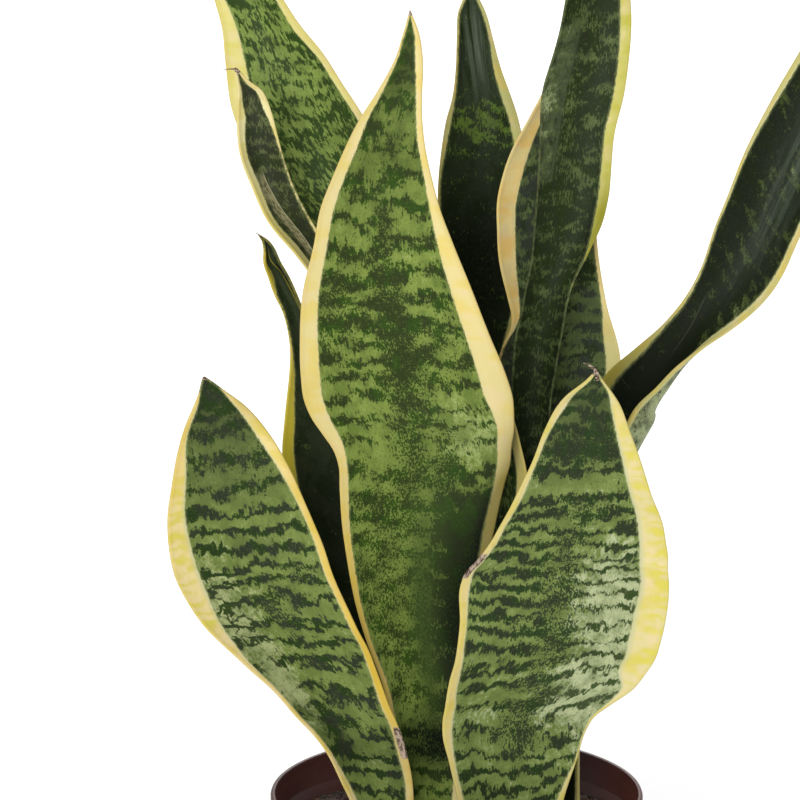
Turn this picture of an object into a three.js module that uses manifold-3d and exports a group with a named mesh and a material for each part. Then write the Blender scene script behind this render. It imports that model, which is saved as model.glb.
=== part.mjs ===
// A snake plant with yellow-edged leaves, standing in a plain nursery pot.
// Millimetres. +Z is up, the front of the plant faces -Y, and z = 0 is the pot's underside.
import * as THREE from 'three';
import { mergeVertices } from 'three/addons/utils/BufferGeometryUtils.js';
import Module from 'manifold-3d';

const wasm = await Module();
wasm.setup();

// ---- driving sizes -----------------------------------------------------------------------
const POT_HEIGHT = 126;
const RIM_RADIUS = 70;
const RIM_BAND = 14;
const RIM_STEP = 3;
const POT_FOOT_RADIUS = 50;
const WALL = 1.8;
const ROUND_STEPS = 48;

const DRAIN_HOLES = 6;
const DRAIN_RADIUS = 4;
const DRAIN_CIRCLE = 32;

const GAP = 0.3;
const SOIL_BELOW_RIM = 14;
const ROOTED_DEPTH = 16;

const EDGE_THICKNESS = 1.0;
const BLADE_THICKNESS = 2.4;
const BASE_THICKNESS = 3.6;
const ROW_PITCH = 10;
const LEAF_COLUMNS = 6;
const ROOM = 2 * GAP;

// ---- sizes that follow -------------------------------------------------------------------
const SHOULDER_RADIUS = RIM_RADIUS - RIM_STEP;
const SOIL_TOP = POT_HEIGHT - SOIL_BELOW_RIM;
const LEAF_FOOT = SOIL_TOP - ROOTED_DEPTH;

// ---- leaves ------------------------------------------------------------------------------
// Each row is one level of a leaf, from its foot in the soil to its tip:
// [height, left edge x, left edge y, right edge x, right edge y, hollow, rise]
// The hollow is how far the middle of the blade lies behind the line between its edges.
// The rise is how much higher the right edge is than the left, and is zero where left out.
const LEAVES = {
  leaf_front_left: [
    [LEAF_FOOT, -35, -32, -16, -24, 4],
    [125, -37, -33, -16, -24, 5],
    [150, -47, -37, -19, -25, 7],
    [175, -64.5, -42, -28, -27, 8],
    [195, -84, -45, -35, -30, 9],
    [212, -97, -47, -42.5, -32, 9],
    [230, -103.5, -48, -49, -35, 8],
    [248, -104.5, -49, -56, -38, 7],
    [264, -102, -50, -62, -42, 5],
    [278, -98.5, -52, -70.5, -46, 3.5],
    [288, -94.5, -54, -79, -50, 2],
    [294, -92, -55.5, -86.5, -53, 1],
    [298, -91, -57, -90, -57, 0.2],
  ],
  leaf_centre_front: [
    [LEAF_FOOT, -18, -13, 0, -8, 3.5],
    [130, -20, -14, 1.5, -8, 4.5],
    [160, -24.5, -15, 4.5, -8, 6],
    [190, -34, -16, 7.5, -8, 8],
    [220, -40.5, -17, 11.5, -9, 9],
    [250, -43, -18, 17.5, -11, 9],
    [272, -52.5, -18, 20.5, -13, 9],
    [292, -57.5, -19, 16, -14, 8.5],
    [315, -57, -21, 7.5, -17, 8],
    [345, -52, -24, -4.5, -21, 6.5],
    [375, -41, -27, -12, -26, 4],
    [395, -30, -29, -13.5, -28.5, 2.5],
    [410, -22, -30.5, -14, -30.5, 1.2],
    [425, -18.5, -32, -17, -32, 0.2],
  ],
  leaf_front_right: [
    [LEAF_FOOT, 2, -27, 37, -21, 5],
    [130, 0.5, -29, 39.5, -22, 7],
    [150, -3.5, -31, 45, -24, 8],
    [164, -5.5, -32, 51, -26, 9],
    [180, -3, -34, 68.5, -29, 10],
    [196, 0, -36, 75, -31, 10],
    [212, 0.5, -37, 76.5, -33, 9.5],
    [225, 5.5, -38, 76, -35, 9],
    [238, 14.5, -40, 74, -37, 8],
    [254, 21.5, -43, 68.5, -40, 6.5],
    [270, 28, -46, 63, -44, 4.5],
    [284, 34, -48, 58, -47, 3],
    [293, 41, -50, 52.5, -49.5, 1.5],
    [300, 47.5, -51.5, 49, -51.5, 0.2],
  ],
  leaf_left_narrow: [
    [LEAF_FOOT, -29.5, -6, -15.5, -4, 3],
    [140, -33.5, -6, -16.5, -4, 4],
    [175, -41.5, -5, -17.5, -3, 6],
    [205, -51.5, -5, -19, -2, 8],
    [235, -61.5, -5, -22, 0, 10],
    [262, -65, -4, -27.5, 1, 8.5],
    [285, -62, -1, -39, 2, 6],
    [302, -61.5, 0, -50, 2, 4.5],
    [316, -65.5, -1, -57.5, 0, 4],
    [326, -69.5, -4, -62.5, -2, 3.5],
    [334, -70.5, -5, -66.5, -4, 2],
    [340, -74, -5, -73, -5, 0.2],
  ],
  leaf_folded_left: [
    [LEAF_FOOT, -13.5, 2, 1.5, 1, 3.5],
    [145, -14.5, 2, 1.5, 1, 4.5],
    [185, -16, 1, 0, 1, 6],
    [225, -18.5, 0, -3.5, 1, 7],
    [262, -24.5, 0, -10.5, 2, 8],
    [295, -35, 0, -23, 3, 9],
    [320, -50.5, 0, -38.5, 3, 9],
    [345, -69.5, -1, -54.5, 2, 8],
    [368, -79, -2, -64, 1, 6],
    [384, -80, -3, -68, -1, 4.5],
    [393, -79.5, -4, -72.5, -2, 2.5],
    [400.5, -81, -5, -80, -5, 0.2],
  ],
  leaf_back_left: [
    [LEAF_FOOT, 3.5, 5, 15.5, -1, 3.5],
    [150, 0, 6, 18, -2, 5],
    [199.5, -5, 12, 21.5, -5, 6],
    [239, -13.5, 17, 25, -6, 7],
    [266.5, -23, 21, 21, -5, 7],
    [298, -39.5, 25, 10, 2, 7],
    [332, -61, 29, -8, 12, 7],
    [366.5, -79, 33, -28, 22, 7],
    [396.5, -85, 37, -48, 29, 6],
    [421, -90, 40, -65.5, 34, 5],
    [443.5, -95, 43, -82.5, 39, 3.5],
    [457.5, -96.5, 45, -91, 42.5, 1.5],
    [469, -97.5, 48, -96, 48, 0.2],
  ],
  leaf_back_centre: [
    [LEAF_FOOT, -9, 24, 3, 25, 3],
    [150, -7.5, 26, 4.5, 27, 4],
    [199, -5, 32, 6, 32, 5],
    [248, -4, 37, 8.5, 36, 6],
    [287.5, -5.5, 42, 18, 40, 6.5],
    [322, -7.5, 45, 25.5, 44, 6.5],
    [351.5, -6.5, 49, 26, 48, 6],
    [381, -1.5, 52, 19.5, 52, 5],
    [403.5, 0.5, 56, 12.5, 56, 3.5],
    [417.5, 3, 57, 8.5, 57, 1.5],
    [429.5, 5, 59, 6.5, 59, 0.2],
  ],
  leaf_tall_right: [
    [LEAF_FOOT, 19.5, 3, 32, 1, 3.5],
    [150, 19.5, 3, 32, 1, 4.5],
    [200, 20, 4, 32.5, 2, 5],
    [250, 20, 5, 33.5, 3, 5.5],
    [288, 20, 4, 36.5, 4, 6],
    [306, 23, 3, 39, 4, 6],
    [325, 25.5, 2, 45.5, 5, 6],
    [355, 28.5, 1, 55, 6, 6],
    [385, 30, 0, 59.5, 7, 6.5],
    [415, 36.5, 0, 62.5, 8, 6.5],
    [445, 43.5, 0, 60, 8, 6],
    [464, 47, 1, 55.5, 7, 3],
    [484, 50.5, 4, 52, 4, 0.2],
  ],
  leaf_mid_right: [
    [LEAF_FOOT, 20.5, 16, 35.5, 14, 3.5],
    [145, 20, 17, 37.5, 15, 5],
    [184.5, 19, 19, 41.5, 18, 6],
    [224, 18, 19, 48.5, 20, 7.5],
    [260.5, 16.5, 19, 58, 24, 9],
    [280, 14.5, 20, 61, 27, 9],
    [291, 17, 19, 60.5, 28, 9],
    [302, 20, 19, 57, 28.5, 9],
    [318, 16.5, 19, 53, 30, 9],
    [342.5, 14, 21, 50.5, 32, 8],
    [367.5, 21, 24, 49.5, 34, 6.5],
    [392, 34, 29, 48, 36, 4],
    [408, 38.5, 33, 45, 37, 1.5],
    [421, 41, 37, 42.5, 37, 0.2],
  ],
  leaf_right_arching: [
    [LEAF_FOOT, 36, 3, 46, -4, 3],
    [153, 34.5, 4, 45, -6, 5, -2],
    [191, 35.5, 6, 46, -8, 8, -4.5],
    [229, 38.5, 8, 49.5, -10, 12, -6],
    [256, 42, 9, 53.5, -12, 16, -10],
    [272, 47.5, 10, 58.5, -13, 17.5, -9],
    [285, 55.5, 10, 64, -13, 17, -9.5],
    [294.5, 66, 9.5, 72.5, -11, 14, -11.5],
    [303.5, 75.5, 8, 80.5, -9, 10, -12],
    [313.5, 83, 6, 88.5, -8, 7.5, -15.5],
    [324, 88.5, 5, 98, -6, 6.5, -20.5],
    [343.5, 95, 4, 112, -4, 7, -28.5],
    [369, 105, 6, 124.5, -2, 6, -31],
    [395.5, 118.5, 8, 137.5, 0, 5, -25.5],
    [421.5, 134.5, 10, 149.5, 4, 3.5, -19],
    [444.5, 150.5, 12, 160.5, 9, 1.5, -12],
    [465, 168, 13, 169.5, 13, 0.2, -1],
  ],
};

// ---- finishes ----------------------------------------------------------------------------
function leafFinish() {
  return new THREE.MeshStandardMaterial({ color: 0x4d6b36, roughness: 0.45, metalness: 0 });
}

function potFinish() {
  return new THREE.MeshStandardMaterial({ color: 0x5a2418, roughness: 0.5, metalness: 0 });
}

function soilFinish() {
  return new THREE.MeshStandardMaterial({ color: 0x2e2018, roughness: 0.95, metalness: 0 });
}

// ---- solids ------------------------------------------------------------------------------
function toSolid(geometry) {
  const bare = geometry.clone();
  bare.deleteAttribute('normal');
  bare.deleteAttribute('uv');
  const merged = mergeVertices(bare, 1e-4);
  return new wasm.Manifold(new wasm.Mesh({
    numProp: 3,
    vertProperties: new Float32Array(merged.attributes.position.array),
    triVerts: new Uint32Array(merged.index.array),
  }));
}

function toGeometry(solid) {
  const mesh = solid.getMesh();
  const geometry = new THREE.BufferGeometry();
  geometry.setAttribute('position', new THREE.BufferAttribute(mesh.vertProperties, 3));
  geometry.setIndex(new THREE.BufferAttribute(mesh.triVerts, 1));
  geometry.computeVertexNormals();
  return geometry;
}

function named(name, geometry, finish) {
  const mesh = new THREE.Mesh(geometry, finish);
  mesh.name = name;
  return mesh;
}

// A round body about the pot's axis, from [radius, height] corners given bottom to top.
function roundBody(corners) {
  const profile = corners.map(([radius, height]) => new THREE.Vector2(radius, height));
  const geometry = new THREE.LatheGeometry(profile, ROUND_STEPS);
  geometry.rotateX(Math.PI / 2);
  return toSolid(geometry);
}

// ---- pot and soil ------------------------------------------------------------------------
function innerRadius(height) {
  const slope = (SHOULDER_RADIUS - POT_FOOT_RADIUS) / (POT_HEIGHT - RIM_BAND);
  return POT_FOOT_RADIUS - WALL + slope * height;
}

function pot() {
  const shoulder = POT_HEIGHT - RIM_BAND;
  const shell = roundBody([
    [0, 0],
    [POT_FOOT_RADIUS - 1.5, 0],
    [POT_FOOT_RADIUS, 1.5],
    [SHOULDER_RADIUS, shoulder],
    [RIM_RADIUS - 0.6, shoulder],
    [RIM_RADIUS, shoulder + 0.6],
    [RIM_RADIUS, POT_HEIGHT - 0.8],
    [RIM_RADIUS - 0.8, POT_HEIGHT],
    [RIM_RADIUS - WALL, POT_HEIGHT - 0.5],
    [RIM_RADIUS - WALL, shoulder + WALL],
    [innerRadius(shoulder), shoulder],
    [innerRadius(WALL), WALL],
    [0, WALL],
  ]);
  const drill = new THREE.CylinderGeometry(DRAIN_RADIUS, DRAIN_RADIUS, 4 * WALL, 20);
  drill.rotateX(Math.PI / 2);
  let body = shell;
  for (let i = 0; i < DRAIN_HOLES; i += 1) {
    const angle = (2 * Math.PI * i) / DRAIN_HOLES;
    const hole = toSolid(drill).translate([
      DRAIN_CIRCLE * Math.cos(angle),
      DRAIN_CIRCLE * Math.sin(angle),
      WALL / 2,
    ]);
    body = body.subtract(hole);
  }
  return named('pot', toGeometry(body), potFinish());
}

function soil() {
  const floor = WALL + GAP;
  let body = roundBody([
    [0, floor],
    [innerRadius(floor) - GAP, floor],
    [innerRadius(SOIL_TOP) - GAP, SOIL_TOP],
    [0, SOIL_TOP],
  ]);
  for (const rows of Object.values(LEAVES)) {
    body = body.subtract(toSolid(slotGeometry(rows)));
  }
  return named('soil', toGeometry(body), soilFinish());
}

// ---- leaves ------------------------------------------------------------------------------
function full(row) {
  return row.length === 7 ? row : [...row, 0];
}

// A leaf's rows with a straight foot from its lowest row up to the soil's top.
function withFoot(shape) {
  const rows = shape.map(full);
  const atSoil = [SOIL_TOP, ...rows[0].slice(1)];
  return [rows[0], atSoil, ...rows.slice(1)];
}

function midPoint([z, xl, yl, xr, yr, , rise]) {
  return new THREE.Vector3((xl + xr) / 2, (yl + yr) / 2, z + rise / 2);
}

// Distances along the middle of a leaf at which its rows lie.
function rowDistances(rows) {
  const distances = [0];
  for (let i = 1; i < rows.length; i += 1) {
    distances.push(distances[i - 1] + midPoint(rows[i]).distanceTo(midPoint(rows[i - 1])));
  }
  return distances;
}

// The slope of one number at row i, weighted towards the nearer neighbour.
function slopeAt(rows, at, i, k) {
  const last = rows.length - 1;
  if (i === 0) {
    return (rows[1][k] - rows[0][k]) / (at[1] - at[0]);
  }
  if (i === last) {
    return (rows[last][k] - rows[last - 1][k]) / (at[last] - at[last - 1]);
  }
  const before = at[i] - at[i - 1];
  const after = at[i + 1] - at[i];
  const slopeBefore = (rows[i][k] - rows[i - 1][k]) / before;
  const slopeAfter = (rows[i + 1][k] - rows[i][k]) / after;
  return (slopeBefore * after + slopeAfter * before) / (before + after);
}

// One level of a leaf at a distance along it: a smooth cubic through the rows.
function levelAt(rows, at, distance) {
  let i = 0;
  while (i < rows.length - 2 && distance > at[i + 1]) {
    i += 1;
  }
  const span = at[i + 1] - at[i];
  const t = (distance - at[i]) / span;
  const t2 = t * t;
  const t3 = t2 * t;
  return rows[i].map((value, k) => (
    (2 * t3 - 3 * t2 + 1) * value
    + (t3 - 2 * t2 + t) * span * slopeAt(rows, at, i, k)
    + (3 * t2 - 2 * t3) * rows[i + 1][k]
    + (t3 - t2) * span * slopeAt(rows, at, i + 1, k)
  ));
}

// A point of the blade's middle surface: across runs 0 to 1 from left edge to right edge.
function bladePoint(rows, at, distance, across) {
  const total = at[at.length - 1];
  const step = 0.5;
  const level = levelAt(rows, at, distance);
  const above = midPoint(levelAt(rows, at, Math.min(distance + step, total)));
  const below = midPoint(levelAt(rows, at, Math.max(distance - step, 0)));
  const along = above.sub(below).normalize();
  const [z, xl, yl, xr, yr, hollow, rise] = level;
  const left = new THREE.Vector3(xl, yl, z);
  const right = new THREE.Vector3(xr, yr, z + rise);
  const chord = right.clone().sub(left);
  const back = along.clone().cross(chord).normalize();
  const bow = 1 - (2 * across - 1) ** 2;
  return left.add(chord.multiplyScalar(across)).add(back.multiplyScalar(hollow * bow));
}

function bladeNormal(rows, at, distance, across) {
  const total = at[at.length - 1];
  const step = 0.4;
  const up = bladePoint(rows, at, Math.min(distance + step, total), across);
  const down = bladePoint(rows, at, Math.max(distance - step, 0), across);
  const side = 0.02;
  const right = bladePoint(rows, at, distance, Math.min(across + side, 1));
  const left = bladePoint(rows, at, distance, Math.max(across - side, 0));
  return up.sub(down).cross(right.sub(left)).normalize();
}

// Thickest on the middle line and at the foot, thin at the edges and the tip.
function bladeThickness(share, across) {
  const middle = BLADE_THICKNESS + (BASE_THICKNESS - BLADE_THICKNESS) * Math.max(0, 1 - 3 * share);
  const fade = Math.min(1, (1 - share) * 6);
  const bow = 1 - (2 * across - 1) ** 2;
  return EDGE_THICKNESS + (middle - EDGE_THICKNESS) * bow * fade;
}

// The closed blade through a leaf's rows.
function bladeGeometry(rows, total, levels) {
  const at = rowDistances(rows);
  const width = LEAF_COLUMNS + 1;
  const faces = [[], []];
  for (let j = 0; j <= levels; j += 1) {
    const distance = (total * j) / levels;
    for (let i = 0; i <= LEAF_COLUMNS; i += 1) {
      const across = i / LEAF_COLUMNS;
      const point = bladePoint(rows, at, distance, across);
      const normal = bladeNormal(rows, at, distance, across);
      const half = bladeThickness(distance / total, across) / 2;
      faces[0].push(point.clone().addScaledVector(normal, -half));
      faces[1].push(point.clone().addScaledVector(normal, half));
    }
  }
  const points = faces[0].concat(faces[1]);
  const backStart = faces[0].length;
  const index = [];
  const quad = (a, b, c, d) => index.push(a, b, c, a, c, d);
  for (let j = 0; j < levels; j += 1) {
    for (let i = 0; i < LEAF_COLUMNS; i += 1) {
      const a = j * width + i;
      const b = a + 1;
      const c = b + width;
      const d = a + width;
      quad(a, b, c, d);
      index.push(backStart + a, backStart + c, backStart + b);
      index.push(backStart + a, backStart + d, backStart + c);
    }
    const low = j * width;
    const high = low + width;
    quad(low, high, backStart + high, backStart + low);
    const lowRight = low + LEAF_COLUMNS;
    const highRight = high + LEAF_COLUMNS;
    quad(lowRight, backStart + lowRight, backStart + highRight, highRight);
  }
  const top = levels * width;
  for (let i = 0; i < LEAF_COLUMNS; i += 1) {
    quad(i, backStart + i, backStart + i + 1, i + 1);
    quad(top + i, top + i + 1, backStart + top + i + 1, backStart + top + i);
  }
  const geometry = new THREE.BufferGeometry();
  const flat = points.flatMap((p) => [p.x, p.y, p.z]);
  geometry.setAttribute('position', new THREE.Float32BufferAttribute(flat, 3));
  geometry.setIndex(index);
  return geometry;
}

function leafGeometry(shape) {
  const rows = withFoot(shape);
  const at = rowDistances(rows);
  const total = at[at.length - 1];
  return bladeGeometry(rows, total, Math.round(total / ROW_PITCH));
}

// A level with both edges moved outwards along the line between them.
function widened([z, xl, yl, xr, yr, hollow, rise], room) {
  const out = new THREE.Vector3(xr - xl, yr - yl, rise).normalize().multiplyScalar(room);
  return [z - out.z, xl - out.x, yl - out.y, xr + out.x, yr + out.y, hollow, rise + 2 * out.z];
}

// The plain upright slot that a leaf's foot stands in: the foot's section with room all round.
function slotGeometry(shape) {
  const rows = withFoot(shape).map((row) => widened(row, ROOM));
  const at = rowDistances(rows);
  const front = [];
  const back = [];
  for (let i = 0; i <= LEAF_COLUMNS; i += 1) {
    const across = i / LEAF_COLUMNS;
    const point = bladePoint(rows, at, 0, across);
    const normal = bladeNormal(rows, at, 0, across);
    const half = bladeThickness(0, across) / 2 + ROOM;
    front.push(point.clone().addScaledVector(normal, -half));
    back.unshift(point.clone().addScaledVector(normal, half));
  }
  const outline = new THREE.Shape(front.concat(back).map((p) => new THREE.Vector2(p.x, p.y)));
  const depth = ROOTED_DEPTH + GAP + 1;
  const geometry = new THREE.ExtrudeGeometry(outline, { depth, bevelEnabled: false });
  return geometry.translate(0, 0, LEAF_FOOT - GAP);
}

function leaf(name) {
  return named(name, toGeometry(toSolid(leafGeometry(LEAVES[name]))), leafFinish());
}

// ---- the whole plant ---------------------------------------------------------------------
function plant() {
  const group = new THREE.Group();
  group.name = 'potted_snake_plant';
  group.add(pot());
  group.add(soil());
  for (const name of Object.keys(LEAVES)) {
    group.add(leaf(name));
  }
  return group;
}

export default plant();
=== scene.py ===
"""Dressed model of a potted snake plant: waxy banded leaves in soil in a nursery pot.

Metres in Blender, millimetres in the sizes and tables here. The origin is the centre of the
pot's underside, +Z is up and the plant's front faces -Y.
"""
import logging
import math
from dataclasses import dataclass, field
from enum import Enum

import bpy
import numpy as np
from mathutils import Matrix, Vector


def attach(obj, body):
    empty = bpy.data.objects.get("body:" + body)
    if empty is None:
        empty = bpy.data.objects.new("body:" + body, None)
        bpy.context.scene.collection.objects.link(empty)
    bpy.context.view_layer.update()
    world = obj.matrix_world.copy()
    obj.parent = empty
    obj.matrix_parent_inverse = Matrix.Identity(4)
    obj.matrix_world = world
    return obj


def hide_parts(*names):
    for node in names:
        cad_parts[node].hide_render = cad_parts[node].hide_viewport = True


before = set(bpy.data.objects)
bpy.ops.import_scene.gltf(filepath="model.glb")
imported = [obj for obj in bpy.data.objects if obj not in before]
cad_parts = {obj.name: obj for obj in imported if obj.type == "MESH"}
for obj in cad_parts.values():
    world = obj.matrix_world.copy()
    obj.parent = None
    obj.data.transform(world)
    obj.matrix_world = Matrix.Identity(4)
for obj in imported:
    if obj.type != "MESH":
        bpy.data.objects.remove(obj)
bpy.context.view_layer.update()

LOG = logging.getLogger("snake_plant")

MM = 0.001
TURN = 2.0 * math.pi
POT_HEIGHT = 126.0
SOIL_TOP = 112.0
LEAF_FOOT = 96.0

Colour = tuple[float, float, float, float]
Point = tuple[float, float, float]
Levels = tuple[tuple[float, ...], ...]
Band = tuple[float, float, float, float]
Socket = bpy.types.NodeSocket

FLOAT, VECTOR = "NodeSocketFloat", "NodeSocketVector"
GEOMETRY, MATERIAL = "NodeSocketGeometry", "NodeSocketMaterial"
NUMBER_SOCKETS = {float: FLOAT, int: "NodeSocketInt"}

# The leans where a placed band's heights are given, from -1 at a leaf's left edge to 1 at its
# right, the marks that patches add to, those of them that aren't kept between 0 and 1, and the
# axes that two of the marks follow on a thread.
BAND_LEANS = (-0.9, -0.3, 0.3, 0.9)
PATCH_MARKS = ("shade", "sand", "dull", "bloom", "flat", "gloom", "streak", "ripe", "net")
FREE_MARKS = ("shade", "bloom")
THREAD_AXES = {"along": 0, "across": 2}

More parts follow.
